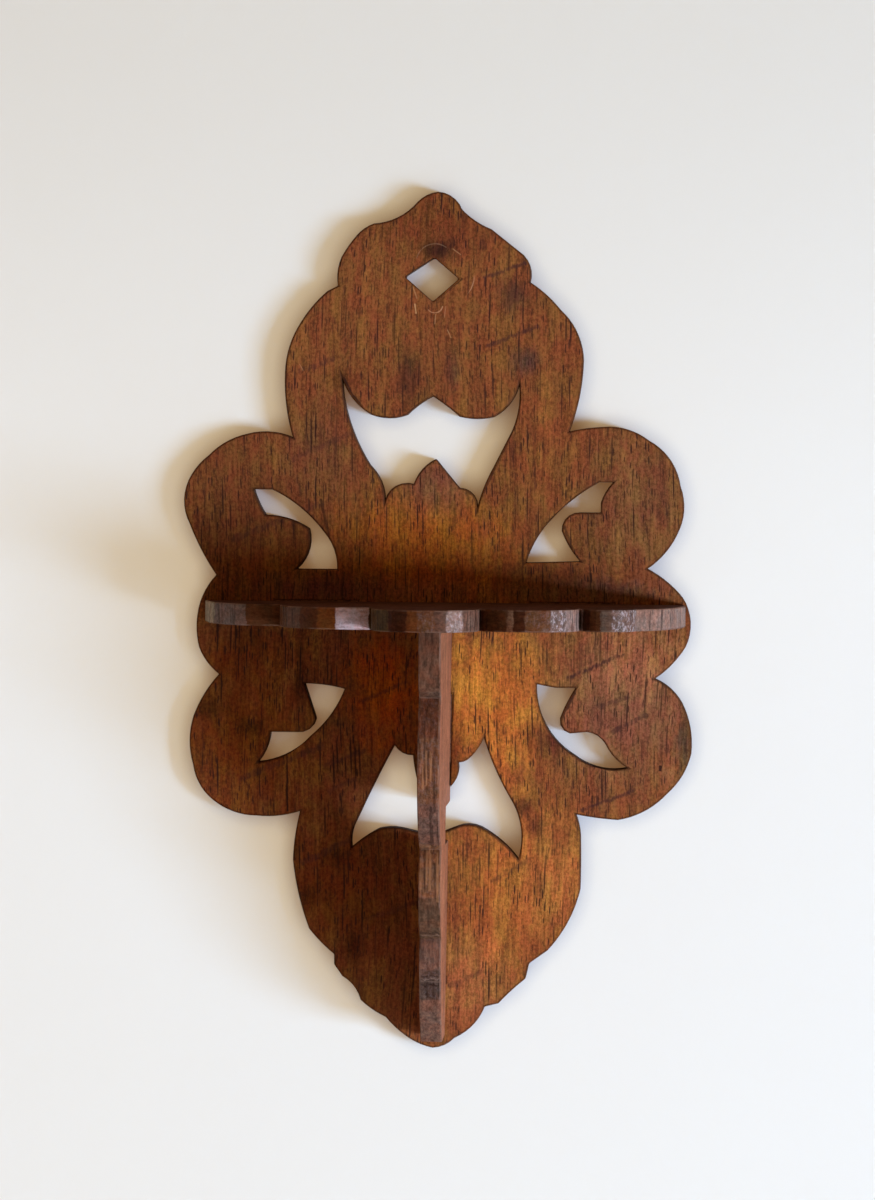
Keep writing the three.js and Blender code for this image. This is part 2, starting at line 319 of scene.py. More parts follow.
class Effects:
    """The shared effects. Each is a node group that is built once and placed in the materials."""

    def __init__(self) -> None:
        """Builds every group."""
        self.figure = self._wood_figure()
        self.spot = self._soft_spot()
        self.fray = self._fray()
        self.stroke = self._stroke()
        self.ring = self._ring_mark()
        self.facet = self._facet()
        self.grime = self._grime()

    @staticmethod
    def _start(name: str, inputs: dict[str, str], outputs: list[str]) -> tuple[Graph, Sockets, Sockets]:
        """Makes an empty group with its sockets.

        Args:
            name: the group's name.
            inputs: kinds of the inputs, by name.
            outputs: names of the outputs, which are all numbers.

        Returns:
            The graph of the group, what is given to it and what it results in.
        """
        tree = bpy.data.node_groups.new(name, "ShaderNodeTree")
        for label, kind in inputs.items():
            tree.interface.new_socket(name=label, in_out="INPUT", socket_type=f"NodeSocket{kind}")
        for label in outputs:
            tree.interface.new_socket(name=label, in_out="OUTPUT", socket_type="NodeSocketFloat")
        graph = Graph(tree)
        return graph, graph.add("NodeGroupInput").outputs, graph.add("NodeGroupOutput").inputs

    @staticmethod
    def _pores(graph: Graph, across: object, along: object, size: Pores) -> Socket:
        """Adds one size of open pore.

        Args:
            graph: the graph that the pores go into.
            across: the place across the grain in millimetres.
            along: the place along the grain in millimetres.
            size: the size of the pores.

        Returns:
            The socket with the pores' mask.
        """
        spot = graph.add("ShaderNodeCombineXYZ")
        for socket, part, count in zip(spot.inputs, (across, along), size.per_millimetre):
            graph.feed(socket, graph.maths("MULTIPLY", part, count))
        inputs = {"Vector": spot.outputs[0], "Scale": 1.0}
        cells = graph.add("ShaderNodeTexVoronoi", inputs, voronoi_dimensions="2D").outputs
        chance = graph.add("ShaderNodeSeparateColor", {0: cells["Color"]}).outputs[0]
        radius = graph.maths("MULTIPLY_ADD", chance, size.largest - size.smallest, size.smallest)
        depth = graph.maths("SUBTRACT", radius, cells["Distance"])
        return graph.eased(depth, *PORE_EDGE)

    def _wood_figure(self) -> Tree:
        """Builds the figure of an open-pored wood: streaks, fibres, pores and mottle.

        Returns:
            The group's tree.
        """
        results = ["Streaks", "Fibres", "Pores", "Mottle"]
        graph, given, result = self._start("Wood Figure", {"Place": "Vector"}, results)
        drift = graph.noise(given["Place"], (0.02, 0.02, 0.012), 1.0)
        sideways = graph.maths("MULTIPLY", graph.maths("SUBTRACT", drift, 0.5), GRAIN_DRIFT)
        shift = graph.add("ShaderNodeCombineXYZ", {0: sideways})
        place = graph.vectors("ADD", given["Place"], shift.outputs[0])
        broad = graph.noise(place, (0.24, 0.24, 0.018), 5.0, 0.65)
        threads = graph.noise(place, (1.2, 1.2, 0.08), 3.0, 0.75)
        grit = graph.noise(place, (1.25, 1.25, 0.9), 2.0, 0.75)
        fine = graph.maths("MULTIPLY_ADD", grit, 0.55, graph.maths("MULTIPLY", threads, 0.45))
        mottle = graph.noise(place, (0.16, 0.16, 0.09), 5.0, 0.7)
        crowding = graph.eased(graph.noise(place, (0.16, 0.16, 0.03), 2.0), 0.35, 0.62)
        axes = graph.add("ShaderNodeSeparateXYZ", {0: place}).outputs
        across = graph.maths("MULTIPLY_ADD", axes[1], THROUGH_TO_ACROSS, axes[0])
        short, long, hair = (self._pores(graph, across, axes[2], size) for size in PORE_SIZES)
        crowded = graph.maths("MULTIPLY_ADD", crowding, 0.5, 0.5)
        pores = graph.maths("MULTIPLY", graph.maths("MAXIMUM", short, long), crowded)
        graph.feed(result["Streaks"], graph.eased(broad, 0.32, 0.68))
        graph.feed(result["Fibres"], graph.eased(fine, 0.36, 0.64))
        graph.feed(result["Pores"], graph.maths("MAXIMUM", pores, hair))
        graph.feed(result["Mottle"], graph.eased(mottle, 0.34, 0.64))
        return graph.tree

    def _soft_spot(self) -> Tree:
        """Builds an oval spot with a soft edge.

        Returns:
            The group's tree.
        """
        inputs = {"Place": "Vector", "Centre": "Vector", "Reach": "Vector", "Ragged": "Float"}
        graph, given, result = self._start("Soft Spot", inputs, ["Spot"])
        away = graph.vectors("SUBTRACT", given["Place"], given["Centre"])
        distance = graph.vectors("LENGTH", graph.vectors("DIVIDE", away, given["Reach"]))
        distance = graph.maths("ADD", distance, given["Ragged"])
        graph.feed(result["Spot"], graph.eased(distance, 1.0, 0.05))
        return graph.tree

    def _fray(self) -> Tree:
        """Builds what the grain does to a mark that crosses it: it shifts, thins and breaks up.

        Returns:
            The group's tree.
        """
        graph, given, result = self._start("Fray", {"Place": "Vector"}, ["Shift", "Waver", "Threads"])
        place = given["Place"]
        shift = graph.maths("SUBTRACT", graph.noise(place, (0.55, 0.55, 0.1), 3.0, 0.75), 0.5)
        waver = graph.noise(place, (0.3, 0.3, 0.3), 3.0, 0.65)
        threads = graph.noise(place, (1.3, 1.3, 0.2), 2.0, 0.6)
        graph.feed(result["Shift"], graph.maths("MULTIPLY", shift, 2.6))
        graph.feed(result["Waver"], graph.maths("MULTIPLY_ADD", waver, 2.6, -0.3))
        graph.feed(result["Threads"], graph.eased(threads, 0.22, 0.6))
        return graph.tree

    def _stroke(self) -> Tree:
        """Builds a stroke between two points, for saw marks, cracks, scratches and painted shade along
        edges.

        Returns:
            The group's tree.
        """
        inputs = {"Place": "Vector", "Start": "Vector", "End": "Vector"}
        inputs |= {"Half Width": "Float", "Softness": "Float", "Waver": "Float"}
        graph, given, result = self._start("Stroke", inputs, ["Stroke"])
        run = graph.vectors("SUBTRACT", given["End"], given["Start"])
        away = graph.vectors("SUBTRACT", given["Place"], given["Start"])
        along = graph.vectors("DOT_PRODUCT", away, run)
        whole = graph.vectors("DOT_PRODUCT", run, run)
        share = graph.add("ShaderNodeClamp")
        graph.feed(share.inputs["Value"], graph.maths("DIVIDE", along, whole))
        nearest = graph.scaled(run, share.outputs[0])
        distance = graph.vectors("LENGTH", graph.vectors("SUBTRACT", away, nearest))
        reach = graph.maths("MULTIPLY", given["Half Width"], given["Waver"])
        depth = graph.maths("SUBTRACT", reach, distance)
        outside = graph.maths("MULTIPLY", given["Softness"], -1.0)
        graph.feed(result["Stroke"], graph.eased(depth, outside, given["Softness"]))
        return graph.tree

    def _facet(self) -> Tree:
        """Builds a stretch of a sawn edge between two places, with fairly crisp ends.

        Returns:
            The group's tree.
        """
        inputs = {"Along": "Float", "Start": "Float", "End": "Float"}
        graph, given, result = self._start("Edge Facet", inputs, ["Facet"])
        past_start = graph.maths("SUBTRACT", given["Along"], given["Start"])
        before_end = graph.maths("SUBTRACT", given["End"], given["Along"])
        inside = graph.maths("MINIMUM", past_start, before_end)
        graph.feed(result["Facet"], graph.eased(inside, -0.3, 0.3))
        return graph.tree

    def _ring_mark(self) -> Tree:
        """Builds part of a thin ring, such as a hanging ring rubs into the face.

        Returns:
            The group's tree.
        """
        inputs = {"Place": "Vector", "Centre": "Vector", "Radius": "Float", "Half Width": "Float"}
        inputs |= {"Towards": "Vector", "Span": "Float", "Waver": "Float"}
        graph, given, result = self._start("Ring Mark", inputs, ["Ring"])
        away = graph.vectors("SUBTRACT", given["Place"], given["Centre"])
        distance = graph.vectors("LENGTH", away)
        off = graph.maths("ABSOLUTE", graph.maths("SUBTRACT", distance, given["Radius"]))
        reach = graph.maths("MULTIPLY", given["Half Width"], given["Waver"])
        line = graph.eased(graph.maths("SUBTRACT", reach, off), -0.03, 0.12)
        way = graph.vectors("NORMALIZE", away)
        facing = graph.vectors("DOT_PRODUCT", way, given["Towards"])
        near = graph.eased(facing, given["Span"], graph.maths("ADD", given["Span"], 0.1))
        graph.feed(result["Ring"], graph.maths("MULTIPLY", line, near))
        return graph.tree

    def _grime(self) -> Tree:
        """Builds scattered dark smudges that break up along the grain.

        Returns:
            The group's tree.
        """
        graph, given, result = self._start("Grime", {"Place": "Vector", "Amount": "Float"}, ["Grime"])
        cloud = graph.noise(given["Place"], (0.1, 0.1, 0.06), 4.0, 0.6)
        threads = graph.noise(given["Place"], (1.8, 1.8, 0.1), 2.0, 0.6)
        patches = graph.eased(cloud, 0.52, 0.72)
        broken = graph.maths("MULTIPLY", patches, graph.eased(threads, 0.35, 0.65))
        graph.feed(result["Grime"], graph.maths("MULTIPLY", broken, given["Amount"]))
        return graph.tree


@dataclass(frozen=True)
class Tone:
    """A soft oval area where the wood is darker, lighter or warmer than elsewhere; some are the wood's own
    colour and some are painted light and shade.
    """

    centre: Spot
    reach: Spot
    colour: Colour


@dataclass(frozen=True)
class Line:
    """A line on the face."""

    start: Spot
    end: Spot
    half_width: float
    strength: float


@dataclass(frozen=True)
class Marks:
    """Lines of one kind, with their colour, how soft they are and whether the grain frays them."""

    colour: Colour
    softness: float
    frayed: bool
    lines: tuple[Line, ...]


@dataclass(frozen=True)
class Facet:
    """A stretch of a sawn edge with its own colour, for its staining and wear and the painted highlight and
    shade of the stretch, and how far painted glints cover it.
    """

    start: float
    end: float
    colour: Colour
    glint_share: float = 0.0


@dataclass(frozen=True)
class Ring:
    """Part of a rubbed ring on the face."""

    centre: Spot
    radius: float
    half_width: float
    towards: Spot
    span: float
    strength: float
    colour: Colour = (0.5, 0.26, 0.13)


@dataclass(frozen=True)
class WoodFinish:
    """How one board is stained and worn, and the light and shade painted on it. Colours are linear, and
    places are in millimetres.
    """

    name: str
    grain: Grain
    broad: Broad
    light: Colour
    dark: Colour
    red: Colour
    pore: Colour
    side: Colour
    side_share: float
    rubbed: Colour
    rubbed_share: float
    roughness: float
    side_roughness: float
    grime: float
    offset: Point
    specular: float
    end_grain: Colour = (0.1, 0.06, 0.045)
    end_share: float = 0.0
    end_pores: float = 0.0
    rub_relief: float = 0.0
    fibre_contrast: float = 0.42
    cloud_contrast: float = 0.3
    tones: tuple[Tone, ...] = ()
    marks: tuple[Marks, ...] = ()
    rings: tuple[Ring, ...] = ()
    facet_axis: int = 0
    facets: tuple[Facet, ...] = ()
    # Colour of the painted glints
    glint_colour: Colour = (0.42, 0.35, 0.37)


class WoodShader:
    """The material of a board's faces, or of its worn arrises, laid on in layers, with some painted light
    and shade.
    """

    def __init__(self, finish: WoodFinish, effects: Effects, arris_wear: float) -> None:
        """Starts the material and works out the places that its layers need.

        Args:
            finish: how the board is stained and worn.
            effects: the shared effects.
            arris_wear: how much of the rubbed colour an arris shows, or 0 on the faces.
        """
        self.finish = finish
        self.effects = effects
        self.arris_wear = arris_wear
        self.glint_share = 0.0
        self.material = bpy.data.materials.new(f"{finish.name}_arris" if arris_wear else finish.name)
        self.graph = graph = blank_graph(self.material)
        self.where = graph.add("ShaderNodeTexCoord").outputs
        self.place = graph.scaled(self.where["Object"], MILLIMETRES)
        self.axes = graph.add("ShaderNodeSeparateXYZ", {0: self.place}).outputs
        by_grain = {target: self.axes[source] for target, source in enumerate(finish.grain.value)}
        turned = graph.add("ShaderNodeCombineXYZ", by_grain)
        self.along_grain = graph.vectors("ADD", turned.outputs[0], finish.offset)
        flat = graph.add("ShaderNodeCombineXYZ", {0: self.axes[0], 2: self.axes[2]})
        self.on_front = flat.outputs[0]
        self.figure = graph.use(effects.figure, Place=self.along_grain)

    def _stain(self) -> None:
        """Lays on the streaks, the reddish patches and the light and dark fibres."""
        graph = self.graph
        finish = self.finish
        colour = graph.blended(self.figure["Streaks"], finish.dark, finish.light)
        reddened = graph.maths("MULTIPLY", self.figure["Mottle"], RED_SHARE)
        colour = graph.blended(reddened, colour, finish.red)
        limits = {"To Min": 1.0 - finish.fibre_contrast, "To Max": 1.0 + finish.fibre_contrast}
        shade = graph.add("ShaderNodeMapRange", {"Value": self.figure["Fibres"], **limits})
        self.shade = shade.outputs["Result"]
        self.colour = graph.blended(1.0, colour, self.shade, "MULTIPLY")

    def _tint(self) -> None:
        """Tints the areas that are darker, lighter or warmer than elsewhere, partly as painted light and
        shade, but not on the back.
        """
        graph = self.graph
        self.facing = graph.add("ShaderNodeSeparateXYZ", {0: self.where["Normal"]}).outputs
        self.unturned = graph.eased(self.facing[1], *NOT_THE_BACK)
        tinted = self.colour
        if self.finish.tones:
            blotch = graph.noise(self.on_front, (0.2, 0.2, 0.12), 4.0, 0.65)
            streak = graph.noise(self.on_front, (1.1, 1.1, 0.07), 2.0, 0.6)
            ragged = graph.maths("MULTIPLY_ADD", blotch, 1.1, -0.8)
            ragged = graph.maths("MULTIPLY_ADD", streak, 0.5, ragged)
        for tone in self.finish.tones:
            spot = graph.use(
                self.effects.spot,
                Place=self.on_front,
                Centre=in_plane(tone.centre),
                Reach=in_plane(tone.reach, 1.0),
                Ragged=ragged,
            )
            tinted = graph.blended(spot[0], tinted, tone.colour, "MULTIPLY")
        self.colour = graph.blended(self.unturned, self.colour, tinted)

    def _open_pores(self) -> None:
        """Lays on the pores and the smudges."""
        graph = self.graph
        pores = graph.maths("MULTIPLY", self.figure["Pores"], PORE_SHARE)
        colour = graph.blended(pores, self.colour, self.finish.pore)
        grime = graph.use(self.effects.grime, Place=self.along_grain, Amount=self.finish.grime)
        self.colour = graph.blended(grime[0], colour, self.finish.pore)

    def _cut_sides(self) -> None:
        """Darkens the sawn edges, in part as painted shade on their rounded arrises, and shows the rays on
        the end grain.
        """
        graph = self.graph
        finish = self.finish
        broadness = graph.maths("ABSOLUTE", self.facing[finish.broad.value])
        self.sideness = graph.eased(broadness, *SAWN_EDGE)
        self.endness = graph.maths("ABSOLUTE", self.facing[finish.grain.value[2]])
        side_share = graph.maths("MULTIPLY", self.sideness, finish.side_share)
        colour = graph.blended(side_share, self.colour, finish.side)
        end_share = graph.maths("MULTIPLY", graph.eased(self.endness, *END_GRAIN), finish.end_share)
        rays = graph.noise(self.place, (1.5, 1.5, 0.12), 3.0, 0.6)
        ray_tone = graph.blended(graph.eased(rays, 0.35, 0.6), finish.pore, finish.end_grain)
        self.colour = graph.blended(end_share, colour, ray_tone)

    def _rubbing(self) -> Socket:
        """Works out where the surface is rubbed: on the sawn edges, or all along an arris.

        Returns:
            The socket with the share of the rubbed colour.
        """
        graph = self.graph
        self.rub_noise = graph.noise(self.place, (0.22, 0.22, 0.22), 4.0, 0.65)
        patches = graph.eased(self.rub_noise, 0.38, 0.62)
        share = graph.maths("MULTIPLY", patches, max(self.finish.rubbed_share, self.arris_wear))
        return share if self.arris_wear else graph.maths("MULTIPLY", share, self.sideness)

    def _colour_facets_with_painted_light(self) -> None:
        """Colours the stretches of the sawn edge, each in its own colour of staining, wear and painted
        highlight and shade, with painted glints on some.
        """
        graph = self.graph
        finish = self.finish
        edge = graph.maths("MULTIPLY", self.sideness, self.unturned)
        ragged = graph.noise(self.place, (0.45, 0.45, 0.45), 3.0, 0.6)
        along = graph.maths("SUBTRACT", self.axes[finish.facet_axis], FACET_BORDER_WANDER)
        wandering = graph.maths("MULTIPLY_ADD", ragged, 2 * FACET_BORDER_WANDER, along)
        limits = {"To Min": 1.0 - finish.cloud_contrast, "To Max": 1.0 + finish.cloud_contrast}
        cloud = graph.add("ShaderNodeMapRange", {"From Min": 0.3, "From Max": 0.7, **limits})
        graph.feed(cloud.inputs["Value"], graph.noise(self.along_grain, (0.7, 0.7, 0.1), 4.0, 0.7))
        hue = graph.eased(graph.noise(self.place, (0.25, 0.25, 0.25), 3.0, 0.6), 0.36, 0.64)
        cast = graph.blended(hue, WARM_CAST, COOL_CAST)
        variation = graph.blended(1.0, cast, cloud.outputs["Result"], "MULTIPLY")
        variation = graph.blended(FIBRES_OVER_FACETS, variation, self.shade, "MULTIPLY")
        # Each stretch's colour holds its painted highlight and shade with its staining
        for facet in finish.facets:
            stretch = graph.use(self.effects.facet, Along=wandering, Start=facet.start, End=facet.end)
            share = graph.maths("MULTIPLY", stretch[0], edge)
            facet_tone = graph.blended(1.0, facet.colour, variation, "MULTIPLY")
            self.colour = graph.blended(share, self.colour, facet_tone)
            if facet.glint_share:
                self.glint_share = graph.maths("MULTIPLY_ADD", share, facet.glint_share, self.glint_share)
        # Painted glints of the window's light on some stretches
        glints = graph.noise(self.place, (1.0, 1.0, 0.7), 5.0, 0.8)
        self.glint_share = graph.maths("MULTIPLY", self.glint_share, graph.eased(glints, 0.46, 0.68))
        self.colour = graph.blended(self.glint_share, self.colour, finish.glint_colour)

    def _roughen_ends(self) -> None:
        """Opens the pores of the end grain over the facets."""
        graph = self.graph
        rough_end = graph.maths("MULTIPLY", graph.eased(self.endness, *ROUGH_END), self.finish.end_pores)
        open_pores = graph.eased(graph.noise(self.place, (1.1, 1.1, 0.1), 2.0, 0.6), 0.48, 0.36)
        share = graph.maths("MULTIPLY", open_pores, rough_end)
        self.colour = graph.blended(share, self.colour, self.finish.pore)

    def _mark(self) -> None:
        """Adds the marks that lie at known places on the front."""
        graph = self.graph
        frontness = graph.eased(self.facing[1], *THE_FRONT)
        fray = graph.use(self.effects.fray, Place=self.on_front)
        lift = graph.add("ShaderNodeCombineXYZ", {2: fray["Shift"]})
        frayed_place = graph.vectors("ADD", self.on_front, lift.outputs[0])
        frayed_share = graph.maths("MULTIPLY", fray["Threads"], frontness)
        for kind in self.finish.marks:
            for line in kind.lines:
                stroke = graph.use(
                    self.effects.stroke,
                    Place=frayed_place if kind.frayed else self.on_front,
                    Start=in_plane(line.start),
                    End=in_plane(line.end),
                    Half_Width=line.half_width,
                    Softness=kind.softness,
                    Waver=fray["Waver"],
                )
                share = graph.maths("MULTIPLY", stroke[0], line.strength)
                share = graph.maths("MULTIPLY", share, frayed_share if kind.frayed else frontness)
                self.colour = graph.blended(share, self.colour, kind.colour)
        for ring in self.finish.rings:
            mark = graph.use(
                self.effects.ring,
                Place=self.on_front,
                Centre=in_plane(ring.centre),
                Radius=ring.radius,
                Half_Width=ring.half_width,
                Towards=in_plane(ring.towards),
                Span=ring.span,
                Waver=fray["Waver"],
            )
            share = graph.maths("MULTIPLY", mark[0], ring.strength)
            share = graph.maths("MULTIPLY", share, frontness)
            self.colour = graph.blended(share, self.colour, ring.colour)

    def _close(self) -> None:
        """Adds the relief and the roughness and joins everything to the output."""
        graph = self.graph
        finish = self.finish
        pores = self.figure["Pores"]
        relief = graph.maths("SUBTRACT", self.figure["Fibres"], pores)
        dents = graph.noise(self.place, (0.9, 0.9, 0.9), 4.0, 0.7)
        dents = graph.maths("MULTIPLY", dents, finish.rub_relief)
        relief = graph.maths("ADD", relief, graph.maths("MULTIPLY", dents, self.sideness))
        inputs = {"Strength": BUMP_STRENGTH, "Distance": BUMP_HEIGHT, "Height": relief}
        bump = graph.add("ShaderNodeBump", inputs)
        change = finish.side_roughness - finish.roughness
        smoothest = finish.roughness - ROUGHNESS_SPREAD / 2
        roughness = graph.maths("MULTIPLY_ADD", self.sideness, change, smoothest)
        for share, sign in ((self.rub_noise, 1), (pores, 1), (self.glint_share, -1)):
            roughness = graph.maths("MULTIPLY_ADD", share, sign * ROUGHNESS_SPREAD, roughness)
        inputs = {"Base Color": self.colour, "Roughness": roughness, "Normal": bump.outputs[0]}
        inputs["Specular IOR Level"] = 0.0 if self.arris_wear else finish.specular
        shader = graph.add("ShaderNodeBsdfPrincipled", inputs)
        graph.add("ShaderNodeOutputMaterial", {0: shader.outputs[0]})

    def build(self) -> Material:
        """Lays on every layer.

        Returns:
            The material.
        """
        self._stain()
        self._tint()
        self._open_pores()
        self._cut_sides()
        rubbing = self._rubbing()
        if not self.arris_wear:
            self.colour = self.graph.blended(rubbing, self.colour, self.finish.rubbed)
        if self.finish.facets:
            self._colour_facets_with_painted_light()
            self._roughen_ends()
        if self.arris_wear:
            self.colour = self.graph.blended(rubbing, self.colour, self.finish.rubbed)
        elif self.finish.marks:
            self._mark()
        self._close()
        return self.material


@dataclass(frozen=True)
class CloudyFinish:
    """A finish that changes in clouds from one colour to another. Sizes are in millimetres."""

    name: str
    first: Colour
    second: Colour
    per_millimetre: float
    detail: float
    clouding: Spot
    roughness: float
    rougher: float
    metallic: float = 0.0
    specular: float = 0.5

    def material(self) -> Material:
        """Makes the material.

        Returns:
            The material.
        """
        material = bpy.data.materials.new(self.name)
        graph = blank_graph(material)
        where = graph.add("ShaderNodeTexCoord")
        place = graph.scaled(where.outputs["Object"], MILLIMETRES)
        noise = graph.noise(place, (self.per_millimetre,) * 3, self.detail, 0.6)
        cloud = graph.eased(noise, *self.clouding)
        inputs = {
            "Base Color": graph.blended(cloud, self.first, self.second),
            "Roughness": graph.maths("MULTIPLY_ADD", cloud, self.rougher, self.roughness),
            "Metallic": self.metallic,
            "Specular IOR Level": self.specular,
        }
        shader = graph.add("ShaderNodeBsdfPrincipled", inputs)
        graph.add("ShaderNodeOutputMaterial", {0: shader.outputs[0]})
        return material


PIN_STEEL = CloudyFinish(
    "pin_steel", (0.36, 0.33, 0.3), (0.12, 0.085, 0.06), 1.6, 4.0, (0.4, 0.62), 0.35, 0.3, metallic=0.9
)
OLD_GLUE = CloudyFinish(
    "old_glue", (0.06, 0.022, 0.012), (0.2, 0.08, 0.04), 0.7, 3.0, (0.35, 0.65), 0.65, 0.15, specular=0.15
)


@dataclass
class SawnBoard:
    """A sawn board of the shelf: its node, its finish and its softened arrises, in metres."""

    node: str
    finish: WoodFinish
    arris_wear: float
    arris: float = 0.0004
    arris_segments: int = 2
    sharpest: float = 35.0
    weld: float = 0.000002
    merge: float = 0.000001
    square_on: float = 0.999
    faces_beside_rim: float = 1.5
    refaced: bool = True

    def _filled_side(
        self, graph: Graph, rim: Socket, wood: Material, low_side: bool, planes: Spot
    ) -> Socket:
        """Fills one broad face inside the rounded arrises.

        Args:
            graph: the graph of the modifier.
            rim: the board without its broad faces.
            wood: the material of the faces.
            low_side: whether it is the face with the lower place along the broad axis.
            planes: where both broad faces lie along that axis.

        Returns:
            The socket with the filled face.
        """
        axis = self.finish.broad.value
        position = graph.add("GeometryNodeInputPosition").outputs[0]
        place = graph.add("ShaderNodeSeparateXYZ", {0: position}).outputs[axis]
        faces_beside = graph.add("GeometryNodeInputMeshEdgeNeighbors").outputs[0]
        on_edge = graph.maths("LESS_THAN", faces_beside, self.faces_beside_rim)
        near = graph.maths("LESS_THAN" if low_side else "GREATER_THAN", place, sum(planes) / 2)
        chosen = graph.maths("MULTIPLY", on_edge, near)
        outline = graph.add("GeometryNodeMeshToCurve", {"Mesh": rim, "Selection": chosen}).outputs[0]
        tilt = math.radians(90) if axis == 1 else 0.0
        inputs = {"Geometry": outline, "Rotation": (tilt, 0.0, 0.0)}
        laid_flat = graph.add("GeometryNodeTransform", inputs).outputs[0]
        fill = graph.add("GeometryNodeFillCurve", {"Curve": laid_flat}).outputs[0]
        shift = [0.0, 0.0, 0.0]
        shift[axis] = planes[0] if low_side else planes[1]
        inputs = {"Geometry": fill, "Rotation": (-tilt, 0.0, 0.0), "Translation": shift}
        put_back = graph.add("GeometryNodeTransform", inputs).outputs[0]
        stained = graph.add("GeometryNodeSetMaterial", {"Geometry": put_back, "Material": wood}).outputs[0]
        if not low_side:
            return stained
        return graph.add("GeometryNodeFlipFaces", {"Mesh": stained}).outputs[0]

    def _faces(self, piece: Piece, wood: Material) -> Tree:
        """Builds the modifier that cleans the faces after the rounding.

        The rounding folds some narrow triangles of a broad face over each other, so both broad
        faces are filled afresh. Every facet is shown flat, as a saw leaves it.

        Args:
            piece: the board.
            wood: the material of the faces.

        Returns:
            The modifier's tree.
        """
        tree = bpy.data.node_groups.new(f"{self.node}_faces", "GeometryNodeTree")
        for way in ("INPUT", "OUTPUT"):
            tree.interface.new_socket(name="Board", in_out=way, socket_type="NodeSocketGeometry")
        graph = Graph(tree)
        board = graph.add("NodeGroupInput").outputs[0]
        if self.refaced:
            axis = self.finish.broad.value
            heights = [corner.co[axis] for corner in piece.data.vertices]
            planes = (min(heights), max(heights))
            normal = graph.add("GeometryNodeInputNormal").outputs[0]
            facing = graph.add("ShaderNodeSeparateXYZ", {0: normal}).outputs[axis]
            broad = graph.maths("GREATER_THAN", graph.maths("ABSOLUTE", facing), self.square_on)
            inputs = {"Geometry": board, "Selection": broad}
            rim = graph.add("GeometryNodeDeleteGeometry", inputs, domain="FACE").outputs[0]
            joined = graph.add("GeometryNodeJoinGeometry", {0: rim})
            for low_side in (True, False):
                graph.feed(joined.inputs[0], self._filled_side(graph, rim, wood, low_side, planes))
            inputs = {"Geometry": joined.outputs[0], "Distance": self.merge}
            board = graph.add("GeometryNodeMergeByDistance", inputs).outputs[0]
        shade = graph.add("GeometryNodeSetShadeSmooth", {"Shade Smooth": False, "Geometry": board})
        graph.add("NodeGroupOutput", {0: shade.outputs[0]})
        return tree

    def soften(self, piece: Piece, wood: Material) -> None:
        """Rounds the arrises, gives them the second material and cleans the faces.

        Args:
            piece: the board.
            wood: the material of the faces.
        """
        weld = piece.modifiers.new("Weld", "WELD")
        weld.merge_threshold = self.weld
        bevel = piece.modifiers.new("Arris", "BEVEL")
        bevel.width = self.arris
        bevel.segments = self.arris_segments
        bevel.limit_method = "ANGLE"
        bevel.angle_limit = math.radians(self.sharpest)
        bevel.use_clamp_overlap = False
        bevel.material = 1
        faces = piece.modifiers.new("Faces", "NODES")
        faces.node_group = self._faces(piece, wood)

    def build(self, effects: Effects) -> None:
        """Dresses the board.

        Args:
            effects: the shared effects.
        """
        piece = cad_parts[self.node]
        face = WoodShader(self.finish, effects, 0.0).build()
        arris = WoodShader(self.finish, effects, self.arris_wear).build()
        piece.data.materials.clear()
        piece.data.materials.append(face)
        piece.data.materials.append(arris)
        self.soften(piece, face)
        LOG.info("%s: %s, arris %.2f mm", self.node, self.finish.name, self.arris * MILLIMETRES)


